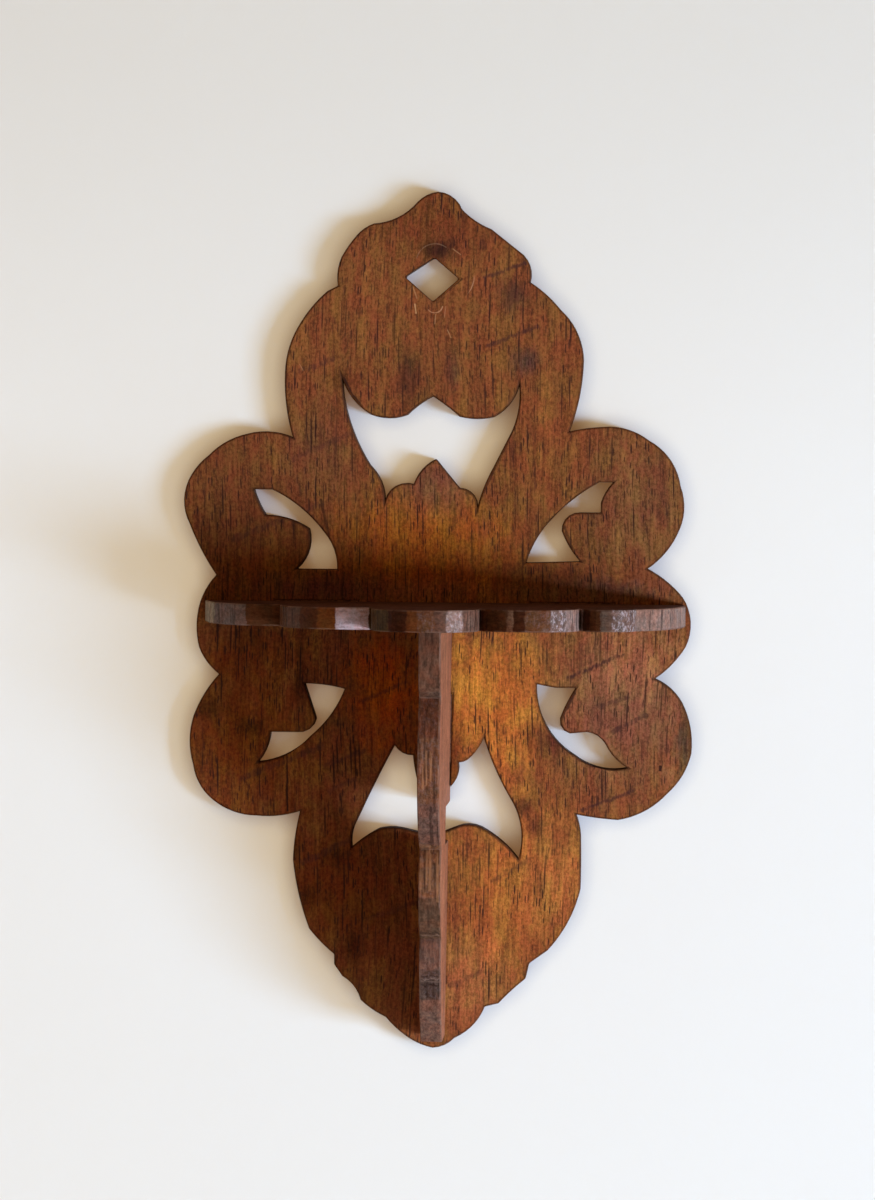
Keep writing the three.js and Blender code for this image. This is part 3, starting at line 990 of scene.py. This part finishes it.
@dataclass
class GlueLines:
    """The dark glue that fills the joints round the tenons and the tongue. Sizes are in metres."""

    tenon_width: float = 0.024
    tenon_spacing: float = 0.076
    tenon_offset: float = 0.004
    gap: float = 0.0003
    stand_off: float = 0.00002
    board_thickness: float = 0.00635
    front_recess: float = 0.00005
    tongue_top: float = -0.1295
    tongue_left_foot: float = -0.1535
    tongue_right_foot: float = -0.1495
    bracket_offset: float = 0.0031
    bracket_top: float = -0.1085
    bracket_lean: float = 0.5

    def _band(
        self, name: str, outer: list[Spot], inner: list[Spot], closed: bool, material: Material
    ) -> None:
        """Makes a band of glue between an outer and an inner line.

        Args:
            name: the piece's name.
            outer: points of the outer line, across and up, in metres.
            inner: points of the inner line, one for each outer point.
            closed: whether the band runs all the way round.
            material: the glue's material.
        """
        front = -self.board_thickness + self.front_recess
        back = -self.front_recess
        count = len(outer)
        points = [(x, y, z) for y in (front, back) for line in (outer, inner) for x, z in line]
        faces = []
        for first in range(count if closed else count - 1):
            second = (first + 1) % count
            faces.append((first, second, count + second, count + first))
            faces.append((2 * count + first, 3 * count + first, 3 * count + second, 2 * count + second))
            faces.append((first, 2 * count + first, 2 * count + second, second))
            faces.append((count + first, count + second, 3 * count + second, 3 * count + first))
        if not closed:
            last = count - 1
            faces.append((0, count, 3 * count, 2 * count))
            faces.append((last, 2 * count + last, 3 * count + last, count + last))
        mesh = bpy.data.meshes.new(name)
        mesh.from_pydata(points, [], faces)
        build = bmesh.new()
        build.from_mesh(mesh)
        bmesh.ops.recalc_face_normals(build, faces=build.faces)
        build.to_mesh(mesh)
        build.free()
        mesh.materials.append(material)
        piece = placed(name, mesh)
        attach(piece, "root")
        LOG.info("%s: old glue", name)

    def _around(self, middle: Spot, half_size: Spot, grown: float) -> list[Spot]:
        """Lists the corners of a rectangle.

        Args:
            middle: the rectangle's middle.
            half_size: half its width and half its height.
            grown: how far it is grown on every side.

        Returns:
            Its corners in order.
        """
        x, z = middle
        half_width = half_size[0] + grown
        half_height = half_size[1] + grown
        signs = ((-1, -1), (1, -1), (1, 1), (-1, 1))
        return [(x + across * half_width, z + up * half_height) for across, up in signs]

    def _over_tongue(self, reach: float, top: float) -> list[Spot]:
        """Works out a line up one side of the tongue, over its top and down the other side.

        Args:
            reach: how far the line is from the bracket's middle.
            top: the height of the line over the top.

        Returns:
            Its points, leaning as the bracket does.
        """
        lean = math.tan(math.radians(self.bracket_lean))
        upright = (
            (-reach, self.tongue_left_foot),
            (-reach, top),
            (reach, top),
            (reach, self.tongue_right_foot),
        )
        return [(x + self.bracket_offset + (z - self.bracket_top) * lean, z) for x, z in upright]

    def build(self) -> None:
        """Makes the glue round each tenon and along the tongue."""
        glue = OLD_GLUE.material()
        grown = self.gap - self.stand_off
        low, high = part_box("shelf")
        half_size = (self.tenon_width / 2, (high.z - low.z) / 2)
        for label, side in (("left", -1), ("right", 1)):
            middle = (self.tenon_offset + side * self.tenon_spacing / 2, (low.z + high.z) / 2)
            outer = self._around(middle, half_size, grown)
            inner = self._around(middle, half_size, self.stand_off)
            self._band(f"tenon_glue_{label}", outer, inner, True, glue)
        half = self.board_thickness / 2
        outer = self._over_tongue(half + grown, self.tongue_top + grown)
        inner = self._over_tongue(half + self.stand_off, self.tongue_top + self.stand_off)
        self._band("tongue_glue", outer, inner, False, glue)


@dataclass
class FretPins:
    """The six pins that hold the glued joints."""

    names: tuple[str, ...] = (
        "shelf_pin_left",
        "shelf_pin_right",
        "bracket_pin_upper",
        "bracket_pin_lower",
        "top_pin_rear",
        "top_pin_front",
    )

    def build(self) -> None:
        """Dresses the pins."""
        steel = PIN_STEEL.material()
        for name in self.names:
            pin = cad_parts[name]
            pin.data.materials.clear()
            pin.data.materials.append(steel)
            LOG.info("%s: %s", name, PIN_STEEL.name)


@dataclass
class Surroundings:
    """The wall that the shelf hangs on and the floor below it, with painted light and shade. Sizes are in
    metres.
    """

    wall_gap: float = 0.0004
    wall_half_size: float = 3.0
    floor_height: float = -1.0
    pass_through: float = 0.001
    wall_diffuse: Colour = (0.335, 0.435, 0.522)
    # Painted light that only the camera sees, and painted shade in hollows and at the top
    wall_glow: Colour = (0.51, 0.38, 0.232)
    hollow_shade: Colour = (0.33, 0.2, 0.12)
    hollow_reach: float = 0.0072
    hollow_steepness: float = 1.67
    hollow_start: float = -0.5
    top_shade: Colour = (0.86, 0.85, 0.83)
    top_height: float = 0.1
    low_height: float = -0.1
    plain: Colour = (0.8, 0.8, 0.79)
    floor_glow: Colour = (0.05, 0.05, 0.05)

    def _square(self, name: str, placing: Matrix, paint: Material) -> None:
        """Makes one large square face.

        Args:
            name: the object's name.
            placing: where it goes and which way it faces.
            paint: its material.
        """
        half = self.wall_half_size
        corners = [(-half, -half, 0), (half, -half, 0), (half, half, 0), (-half, half, 0)]
        mesh = bpy.data.meshes.new(name)
        mesh.from_pydata(corners, [], [(0, 1, 2, 3)])
        mesh.transform(placing)
        mesh.materials.append(paint)
        made = placed(name, mesh)

    def _surface(self, name: str, seen: Colour, glow: Colour) -> Material:
        """Makes a pale surface that is open from behind and to what touches it, with painted light and
        shade that only the camera sees.

        Args:
            name: the material's name.
            seen: the diffuse colour that the camera sees.
            glow: painted light that the camera sees added, for the shade's tone.

        Returns:
            The material.
        """
        material = bpy.data.materials.new(name)
        graph = blank_graph(material)
        rays = graph.add("ShaderNodeLightPath").outputs
        geometry = graph.add("ShaderNodeNewGeometry").outputs
        height = graph.add("ShaderNodeSeparateXYZ", {0: geometry["Position"]}).outputs[2]
        # Painted shade: darker towards the top
        shade = graph.blended(graph.eased(height, self.low_height, self.top_height), WHITE, self.top_shade)
        diffuse = graph.add("ShaderNodeBsdfDiffuse", {"Color": graph.blended(1.0, shade, seen, "MULTIPLY")})
        # Painted shade: the glow is dimmed in hollows and close to the board
        openness = graph.add("ShaderNodeAmbientOcclusion", {"Distance": self.hollow_reach}, samples=8)
        openness = openness.outputs["AO"]
        openness = graph.maths("MULTIPLY_ADD", openness, self.hollow_steepness, self.hollow_start)
        dimmed = graph.blended(openness, self.hollow_shade, WHITE)
        glow_there = graph.blended(1.0, shade, glow, "MULTIPLY")
        glow_there = graph.blended(1.0, glow_there, dimmed, "MULTIPLY")
        # Painted light: a warm glow that only the camera sees, for the room's light in the wall's shade
        emission = graph.add("ShaderNodeEmission", {"Color": glow_there})
        shown = graph.add("ShaderNodeAddShader", {0: diffuse.outputs[0], 1: emission.outputs[0]})
        plain = graph.add("ShaderNodeBsdfDiffuse", {"Color": self.plain})
        front = graph.mixed(rays["Is Camera Ray"], plain, shown)
        near = graph.maths("LESS_THAN", rays["Ray Length"], self.pass_through)
        unseen = graph.maths("MAXIMUM", geometry["Backfacing"], near)
        both = graph.mixed(unseen, front, graph.add("ShaderNodeBsdfTransparent"))
        graph.add("ShaderNodeOutputMaterial", {0: both.outputs[0]})
        return material

    def build(self) -> None:
        """Makes the wall and the floor."""
        facing_front = Matrix.Rotation(math.radians(90), 4, "X")
        against_shelf = Matrix.Translation((0, self.wall_gap, 0)) @ facing_front
        self._square("wall", against_shelf, self._surface("wall_paint", self.wall_diffuse, self.wall_glow))
        below = Matrix.Translation((0, 0, self.floor_height))
        self._square("floor", below, self._surface("floor_paint", self.plain, self.floor_glow))
        gap = self.wall_gap * MILLIMETRES
        LOG.info("wall %.1f mm behind the shelf, floor %.2f m below", gap, -self.floor_height)


@dataclass(frozen=True)
class Lamp:
    """A soft lamp. Level is how bright a surface gets that faces it at the shelf."""

    name: str
    place: Point
    faces: Point
    width: float
    height: float
    level: float
    colour: Colour


@dataclass
class Studio:
    """The camera, the lamps and the world."""

    target: Point = (0.0019, -0.00635, -0.1013)
    azimuth: float = 3.0
    elevation: float = 1.75
    roll: float = -0.5
    distance: float = 1.482
    lens: float = 150.0
    sensor: float = 36.0
    fill: Colour = (0.26, 0.155, 0.058)
    lamps: tuple[Lamp, ...] = (
        Lamp("window", (1.8, -1.286, -0.486), (-1.0, 0.0, 0.0), 0.97, 0.47, 1.3, (0.85, 1.0, 1.2)),
        Lamp("back_lamp", (-0.7, 1.8, 0.6), (0.35, -0.9, -0.3), 0.9, 0.9, 0.65, (1.0, 0.98, 0.95)),
        Lamp("top_lamp", (0.0, -0.04, 1.7), (0.0, 0.0, -1.0), 0.1, 0.1, 0.16, (1.0, 0.95, 0.9)),
        Lamp("left_lamp", (-1.8, -0.04, 0.0), (1.0, 0.0, 0.0), 0.1, 0.1, 0.16, (1.0, 0.95, 0.9)),
    )

    def camera(self) -> None:
        """Makes the camera at the photograph's place."""
        turn = math.radians(self.azimuth)
        rise = math.radians(self.elevation)
        out = Vector((math.sin(turn) * math.cos(rise), -math.cos(turn) * math.cos(rise), math.sin(rise)))
        right = (-out).cross(Vector((0, 0, 1))).normalized()
        up = right.cross(-out)
        roll = math.radians(self.roll)
        across = right * math.cos(roll) - up * math.sin(roll)
        upward = right * math.sin(roll) + up * math.cos(roll)
        placing = Matrix((across, upward, out)).transposed().to_4x4()
        placing.translation = Vector(self.target) + out * self.distance
        data = bpy.data.cameras.new("camera")
        data.lens = self.lens
        data.sensor_width = self.sensor
        made = placed("camera", data)
        made.matrix_world = placing
        bpy.context.scene.camera = made

    def lamp(self, plan: Lamp) -> None:
        """Makes one lamp.

        Args:
            plan: the lamp's place, size and level.
        """
        data = bpy.data.lights.new(plan.name, "AREA")
        data.shape = "RECTANGLE"
        data.size = plan.width
        data.size_y = plan.height
        data.color = plan.colour
        made = placed(plan.name, data)
        place = Vector(plan.place)
        made.location = (CAD_BOX[0] + CAD_BOX[1]) / 2 + place
        way = Vector(plan.faces).normalized()
        slant = -way.dot(place) / place.length
        data.energy = plan.level * math.pi**2 * place.length**2 / slant
        made.rotation_mode = "QUATERNION"
        made.rotation_quaternion = way.to_track_quat("-Z", "Y")

    def world(self) -> None:
        """Makes the world: a warm fill on the shelf, and white where the camera sees it."""
        world = bpy.data.worlds.new("room")
        graph = blank_graph(world)
        seen = graph.add("ShaderNodeLightPath").outputs["Is Camera Ray"]
        fill = graph.add("ShaderNodeBackground", {"Color": self.fill})
        white = graph.add("ShaderNodeBackground", {"Color": WHITE})
        both = graph.mixed(seen, fill, white)
        graph.add("ShaderNodeOutputWorld", {0: both.outputs[0]})
        bpy.context.scene.world = world

    def build(self) -> None:
        """Makes the camera, every lamp and the world."""
        self.camera()
        for plan in self.lamps:
            self.lamp(plan)
        self.world()
        bpy.context.scene.view_settings.view_transform = "Standard"
        LOG.info("camera at %.2f m, %d lamps", self.distance, len(self.lamps))


SAW_MARKS = Marks(
    colour=(0.045, 0.016, 0.014),
    softness=0.4,
    frayed=True,
    lines=(
        Line((15.0, -5.8), (27.0, -1.4), 0.5, 0.8),
        Line((16.0, -26.0), (30.8, -20.1), 0.5, 0.75),
        Line((-39.5, -33.8), (-29.6, -30.2), 0.7, 0.55),
        Line((-41.5, -60.0), (-18.0, -49.0), 0.8, 0.4),
        Line((-59.0, -84.0), (-32.7, -73.0), 0.9, 0.5),
        Line((40.8, -123.9), (56.9, -116.9), 0.5, 0.85),
        Line((48.6, -132.7), (58.7, -129.5), 0.6, 0.6),
        Line((54.6, -139.6), (64.1, -134.7), 0.7, 0.75),
        Line((45.4, -163.1), (60.2, -157.4), 0.5, 0.85),
        Line((-20.5, -131.8), (-7.2, -125.7), 0.6, 0.6),
        Line((-31.3, -151.0), (-19.4, -146.2), 0.6, 0.5),
        Line((-29.8, -158.4), (-22.2, -154.6), 0.6, 0.5),
        Line((-56.0, -154.9), (-32.0, -145.0), 0.9, 0.5),
        Line((-37.3, -179.7), (-22.5, -172.5), 0.9, 0.55),
        Line((-18.0, -196.5), (-3.4, -191.0), 0.8, 0.45),
        Line((19.0, -184.5), (29.5, -178.0), 0.7, 0.45),
        Line((6.5, -216.0), (16.0, -211.5), 0.7, 0.45),
    ),
)
CRACKS = Marks(
    colour=(0.02, 0.008, 0.006),
    softness=0.15,
    frayed=False,
    lines=(
        Line((-42.5, -148.0), (-42.2, -164.3), 0.22, 0.95),
        Line((-44.5, -76.0), (-44.7, -80.5), 0.2, 0.8),
        Line((4.8, -122.0), (5.3, -141.0), 0.2, 0.8),
        Line((68.4, -150.1), (68.4, -150.9), 0.45, 0.9),
    ),
)
SCRATCHES = Marks(
    colour=(0.52, 0.28, 0.12),
    softness=0.1,
    frayed=False,
    lines=(
        Line((-5.6, -13.8), (-5.2, -16.4), 0.17, 0.8),
        Line((0.6, -16.8), (0.4, -19.6), 0.12, 0.45),
        Line((3.6, -14.4), (3.2, -17.6), 0.12, 0.35),
        Line((5.6, 2.6), (7.9, 0.9), 0.13, 0.35),
        Line((-6.2, -8.6), (-5.0, -12.0), 0.13, 0.35),
        Line((4.2, -21.4), (5.2, -23.6), 0.18, 0.4),
        Line((-39.6, -31.8), (-38.6, -33.6), 0.12, 0.35),
    ),
)
# Painted shade: dark lines along the sawn edges of the openings, the crescents and the nail hole, where the
# rounded arris turns from the window's light
PAINTED_EDGE_SHADE = Marks(
    colour=(0.022, 0.009, 0.006),
    softness=0.25,
    frayed=False,
    lines=(
        # Upper opening
        Line((-26.6, -36.0), (-23.9, -41.2), 0.55, 0.85),
        Line((-23.9, -41.2), (-19.8, -45.9), 0.55, 0.85),
        Line((25.6, -38.0), (25.0, -43.2), 0.5, 0.8),
        Line((25.0, -43.2), (21.9, -55.0), 0.4, 0.65),
        Line((21.9, -55.0), (13.7, -72.5), 0.4, 0.65),
        # Nail hole
        Line((-0.2, -12.9), (8.0, -6.3), 0.55, 0.8),
        # Crescents
        Line((-33.0, -72.0), (-28.3, -92.0), 0.4, 0.6),
        Line((38.2, -76.5), (43.4, -90.2), 0.4, 0.6),
        Line((-26.0, -128.4), (-31.7, -138.2), 0.4, 0.6),
        Line((42.6, -128.6), (38.6, -136.6), 0.5, 0.75),
        # Lower opening
        Line((16.2, -143.6), (22.6, -160.4), 0.45, 0.75),
        Line((22.6, -160.4), (26.8, -176.6), 0.45, 0.75),
    ),
)
BOARD_RINGS = (
    Ring((0.3, -13.9), 2.4, 0.16, (0.25, -0.97), 0.35, 0.6),
    Ring((2.5, -4.9), 9.5, 0.17, (0.94, -0.34), 0.93, 0.7),
    Ring((0.3, -1.5), 5.6, 0.2, (-0.35, 0.94), 0.5, 0.3, (0.3, 0.17, 0.1)),
)
BOARD_TONES_AND_PAINTED_LIGHT = (
    # Orange in the middle and at the lower right, mostly the wood's own warmer colour
    Tone((-2.0, -85.0), (38.0, 22.0), (1.85, 1.62, 0.75)),
    # Painted bounce light: the warm glow between the shelf, the bracket and the board
    Tone((-13.7, -128.0), (18.0, 27.0), (1.95, 1.1, 0.25)),
    Tone((17.5, -131.0), (26.0, 38.0), (2.4, 2.35, 1.3)),
    Tone((26.0, -184.0), (32.0, 38.0), (1.8, 1.75, 1.25)),
    Tone((34.0, -54.0), (21.0, 27.0), (1.15, 1.12, 1.05)),
    # Greyer and paler at the right, the side towards the window: painted sheen of its light
    Tone((59.0, -131.0), (33.0, 38.0), (1.08, 1.3, 2.0)),
    Tone((11.5, -215.0), (18.0, 21.0), (1.6, 1.7, 1.75)),
    Tone((58.0, -118.0), (26.0, 16.0), (1.45, 1.4, 1.3)),
    Tone((36.0, -184.0), (17.0, 26.0), (1.15, 1.25, 1.3)),
    Tone((62.0, -71.7), (27.0, 33.0), (0.85, 0.96, 1.25)),
    Tone((1.2, -68.7), (15.0, 12.0), (0.96, 1.12, 1.85)),
    # Darker at the left, partly as painted shade in the shadow of the bracket and the shelf, and darker at
    # the top
    Tone((-61.0, -71.7), (27.0, 38.0), (0.83, 0.82, 0.85)),
    Tone((1.2, 12.8), (36.0, 21.0), (0.8, 0.72, 0.72)),
    Tone((-33.0, -57.0), (18.0, 24.0), (0.85, 0.9, 1.1)),
    Tone((-56.6, -142.8), (36.0, 38.0), (0.9, 0.7, 0.35)),
    Tone((-27.0, -187.3), (33.0, 38.0), (0.72, 0.54, 0.33)),
    Tone((-50.7, -117.6), (33.0, 15.0), (0.88, 0.7, 0.5)),
    # Painted shade: the cooler tone of the shelf's shadow just above it
    Tone((-30.0, -98.3), (36.0, 7.5), (0.65, 0.66, 1.7)),
    Tone((2.0, -98.5), (18.0, 6.0), (1.2, 1.3, 2.0)),
    Tone((44.0, -98.5), (36.0, 6.0), (0.9, 1.2, 2.2)),
    # Smudges
    Tone((1.5, 2.3), (8.0, 4.4), (0.32, 0.36, 0.55)),
    Tone((23.4, -10.9), (7.5, 8.5), (0.42, 0.46, 0.8)),
    Tone((27.3, -30.6), (6.0, 6.5), (0.45, 0.64, 1.3)),
    Tone((-7.4, -34.4), (5.5, 12.0), (0.5, 0.56, 0.75)),
    Tone((6.0, -33.1), (4.0, 9.0), (0.6, 0.7, 1.0)),
    Tone((28.2, -162.6), (5.0, 5.0), (0.35, 0.35, 0.5)),
    Tone((31.4, -168.2), (3.6, 5.5), (0.45, 0.45, 0.6)),
    Tone((35.3, -142.4), (10.0, 9.0), (0.48, 0.42, 0.6)),
    Tone((75.6, -143.0), (4.0, 13.5), (0.45, 0.65, 0.95)),
    Tone((-36.0, -8.0), (7.0, 6.0), (0.6, 0.66, 0.8)),
    Tone((-27.0, -36.0), (6.0, 5.0), (0.65, 0.6, 0.6)),
    Tone((-65.5, -134.0), (8.0, 6.0), (0.5, 0.55, 0.6)),
    Tone((-53.0, -139.5), (7.0, 4.0), (0.5, 0.5, 0.55)),
    Tone((-38.0, -127.0), (5.0, 9.0), (0.5, 0.5, 0.6)),
    Tone((6.5, -147.0), (6.0, 17.0), (0.5, 0.38, 0.42)),
    Tone((-27.0, -178.0), (9.0, 5.0), (0.6, 0.5, 0.5)),
    Tone((-36.0, -190.0), (9.0, 6.0), (0.6, 0.52, 0.52)),
    Tone((-22.0, -205.0), (8.0, 6.0), (0.6, 0.52, 0.52)),
)
BOARD_FINISH = WoodFinish(
    name="board_wood",
    grain=Grain.UPRIGHT,
    broad=Broad.THROUGH_WALL,
    light=(0.239, 0.0975, 0.0225),
    dark=(0.141, 0.051, 0.0152),
    red=(0.193, 0.047, 0.0168),
    pore=(0.028, 0.011, 0.008),
    # Dark sawn edges, in part painted shade on the arrises
    side=(0.03, 0.012, 0.006),
    side_share=0.85,
    rubbed=(0.16, 0.07, 0.04),
    rubbed_share=0.0,
    roughness=0.55,
    side_roughness=0.6,
    grime=0.55,
    offset=(0.0, 0.0, 0.0),
    specular=0.05,
    tones=BOARD_TONES_AND_PAINTED_LIGHT,
    marks=(SAW_MARKS, CRACKS, SCRATCHES, PAINTED_EDGE_SHADE),
    rings=BOARD_RINGS,
)
ASH = (0.25, 0.18, 0.12)
GREY_ROSE = (0.118, 0.072, 0.06)
DUSKY_ROSE = (0.088, 0.051, 0.036)
OXBLOOD = (0.06, 0.019, 0.007)
MAUVE_BROWN = (0.085, 0.04, 0.025)
RUST = (0.085, 0.025, 0.007)
CHIPPED_WITH_PAINTED_HIGHLIGHT = (0.36, 0.235, 0.24)
OLIVE = (0.052, 0.025, 0.008)
BLACK_WITH_PAINTED_SHADE = (0.035, 0.01, 0.004)
TAN = (0.078, 0.027, 0.01)
PALE_TAN = (0.13, 0.055, 0.03)
MAUVE = (0.098, 0.056, 0.043)
ROSE = (0.19, 0.11, 0.09)
PALE_ROSE = (0.165, 0.092, 0.07)
# Stretches of the shelf's front edge: the pale stretches that face the window hold a painted highlight of
# its light, and the darkest ones painted shade where the lobes turn from it, over the edge's staining and
# wear; the glints on some are painted
SHELF_FACETS = (
    # Left end and the first lobe
    Facet(-68.0, -62.5, ASH),
    Facet(-62.5, -52.0, GREY_ROSE),
    Facet(-52.0, -39.0, (0.073, 0.027, 0.011)),
    Facet(-39.0, -34.8, MAUVE_BROWN),
    Facet(-34.8, -29.8, OXBLOOD),
    Facet(-29.8, -24.3, (0.1, 0.029, 0.007)),
    Facet(-24.3, -14.6, CHIPPED_WITH_PAINTED_HIGHLIGHT, 0.85),
    # Middle lobe
    Facet(-14.6, -8.2, OLIVE),
    Facet(-8.2, -3.1, BLACK_WITH_PAINTED_SHADE),
    Facet(-3.1, 0.1, RUST),
    Facet(0.1, 5.0, TAN, 0.1),
    Facet(5.0, 8.4, (0.069, 0.031, 0.019)),
    Facet(8.4, 12.7, PALE_ROSE, 0.7),
    Facet(12.7, 17.3, (0.096, 0.047, 0.032)),
    # Right lobe
    Facet(17.3, 24.9, OXBLOOD),
    Facet(24.9, 26.8, PALE_TAN),
    Facet(26.8, 30.2, BLACK_WITH_PAINTED_SHADE),
    Facet(30.2, 37.3, TAN, 0.1),
    Facet(37.3, 41.6, MAUVE, 0.85),
    Facet(41.6, 46.1, ROSE),
    # Right end
    Facet(46.1, 48.1, BLACK_WITH_PAINTED_SHADE),
    Facet(48.1, 51.3, OXBLOOD),
    Facet(51.3, 54.5, DUSKY_ROSE),
    Facet(54.5, 61.4, MAUVE, 0.75),
    Facet(61.4, 75.2, PALE_ROSE),
)
SHELF_FINISH = WoodFinish(
    name="shelf_wood",
    grain=Grain.SIDEWAYS,
    broad=Broad.UPWARD,
    light=(0.06, 0.018, 0.006),
    dark=(0.024, 0.008, 0.0035),
    red=(0.06, 0.016, 0.006),
    pore=(0.012, 0.006, 0.005),
    side=(0.045, 0.017, 0.01),
    side_share=0.6,
    rubbed=(0.15, 0.085, 0.06),
    rubbed_share=0.2,
    roughness=0.7,
    side_roughness=0.4,
    grime=0.6,
    offset=(40.0, 17.0, 90.0),
    end_grain=(0.2, 0.12, 0.085),
    end_share=0.5,
    end_pores=0.7,
    specular=0.02,
    rub_relief=3.0,
    facet_axis=0,
    facets=SHELF_FACETS,
)
# Stretches of the bracket's front edge, each with its own colour; the glints on some are painted
BRACKET_FACETS = (
    Facet(-125.5, -100.0, (0.085, 0.034, 0.019)),
    Facet(-127.6, -125.5, (0.08, 0.038, 0.024)),
    Facet(-139.0, -127.6, (0.094, 0.031, 0.015), 0.06),
    Facet(-158.0, -139.0, (0.112, 0.042, 0.019), 0.1),
    Facet(-170.5, -158.0, (0.102, 0.046, 0.031)),
    Facet(-186.0, -170.5, (0.141, 0.054, 0.024), 0.08),
    Facet(-199.0, -186.0, (0.078, 0.035, 0.019)),
    Facet(-208.0, -199.0, (0.11, 0.049, 0.032), 0.05),
    Facet(-217.0, -208.0, (0.063, 0.032, 0.022), 0.1),
    Facet(-236.0, -217.0, (0.115, 0.052, 0.034)),
)
BRACKET_CRACKS = Marks(
    colour=(0.018, 0.008, 0.006),
    softness=0.2,
    frayed=True,
    lines=(
        Line((-1.0, -196.9), (6.6, -196.9), 0.22, 0.8),
        Line((-1.0, -209.9), (6.6, -209.9), 0.2, 0.8),
        Line((-1.0, -212.6), (6.6, -212.6), 0.22, 0.8),
        Line((3.4, -159.0), (3.2, -173.0), 0.45, 0.75),
        Line((1.6, -134.0), (1.9, -152.0), 0.25, 0.6),
        Line((4.4, -143.0), (4.5, -160.0), 0.3, 0.65),
        Line((1.0, -171.0), (1.1, -184.0), 0.3, 0.7),
        Line((4.0, -176.0), (4.1, -186.0), 0.3, 0.7),
        Line((2.6, -141.0), (2.8, -150.0), 0.3, 0.6),
        Line((5.2, -164.0), (5.3, -176.0), 0.35, 0.7),
        Line((2.0, -188.0), (2.1, -195.0), 0.25, 0.5),
        Line((1.4, -211.0), (1.4, -216.0), 0.3, 0.6),
        Line((3.2, -211.0), (3.2, -216.5), 0.3, 0.6),
        Line((4.8, -211.0), (4.8, -216.0), 0.3, 0.6),
    ),
)
BRACKET_CHIPS = Marks(
    colour=(0.33, 0.2, 0.15),
    softness=0.15,
    frayed=True,
    lines=(
        Line((-1.0, -197.7), (6.6, -197.7), 0.12, 0.5),
        Line((-1.0, -210.8), (6.6, -210.8), 0.1, 0.4),
    ),
)
BRACKET_STREAKS = Marks(
    colour=(0.36, 0.16, 0.07),
    softness=0.22,
    frayed=True,
    lines=(
        Line((2.3, -143.0), (2.2, -152.0), 0.3, 0.5),
        Line((3.6, -143.0), (3.5, -151.0), 0.25, 0.5),
        Line((1.2, -147.0), (1.3, -153.0), 0.22, 0.5),
        Line((2.7, -171.0), (2.6, -184.0), 0.3, 0.55),
        Line((1.7, -173.0), (1.6, -182.0), 0.25, 0.5),
        Line((4.7, -173.0), (4.9, -187.0), 0.3, 0.6),
        Line((5.7, -170.0), (5.8, -190.0), 0.3, 0.65),
        Line((5.8, -128.0), (5.7, -163.0), 0.2, 0.45),
        Line((5.8, -196.0), (5.8, -201.0), 0.25, 0.6),
    ),
)
BRACKET_FINISH = WoodFinish(
    name="bracket_wood",
    grain=Grain.UPRIGHT,
    broad=Broad.SIDEWAYS,
    light=(0.34, 0.14, 0.072),
    dark=(0.13, 0.045, 0.024),
    red=(0.25, 0.085, 0.045),
    pore=(0.03, 0.013, 0.01),
    side=(0.08, 0.03, 0.018),
    side_share=0.7,
    rubbed=(0.2, 0.12, 0.09),
    rubbed_share=0.2,
    roughness=0.6,
    side_roughness=0.5,
    grime=0.5,
    offset=(-60.0, 33.0, 45.0),
    specular=0.03,
    rub_relief=1.5,
    fibre_contrast=0.45,
    cloud_contrast=0.6,
    facet_axis=2,
    facets=BRACKET_FACETS,
    marks=(BRACKET_STREAKS, BRACKET_CRACKS, BRACKET_CHIPS),
)
BOARDS = (
    SawnBoard("back_board", BOARD_FINISH, arris_wear=0.15, arris=0.00055),
    SawnBoard("shelf", SHELF_FINISH, arris_wear=0.45),
    SawnBoard("bracket", BRACKET_FINISH, arris_wear=0.5, refaced=False),
)


def main() -> None:
    """Builds the scene in order."""
    logging.basicConfig(level=logging.INFO, format="%(message)s")
    Studio().build()
    Surroundings().build()
    effects = Effects()
    for board in BOARDS:
        board.build(effects)
    GlueLines().build()
    FretPins().build()


if __name__ == "__main__":
    main()
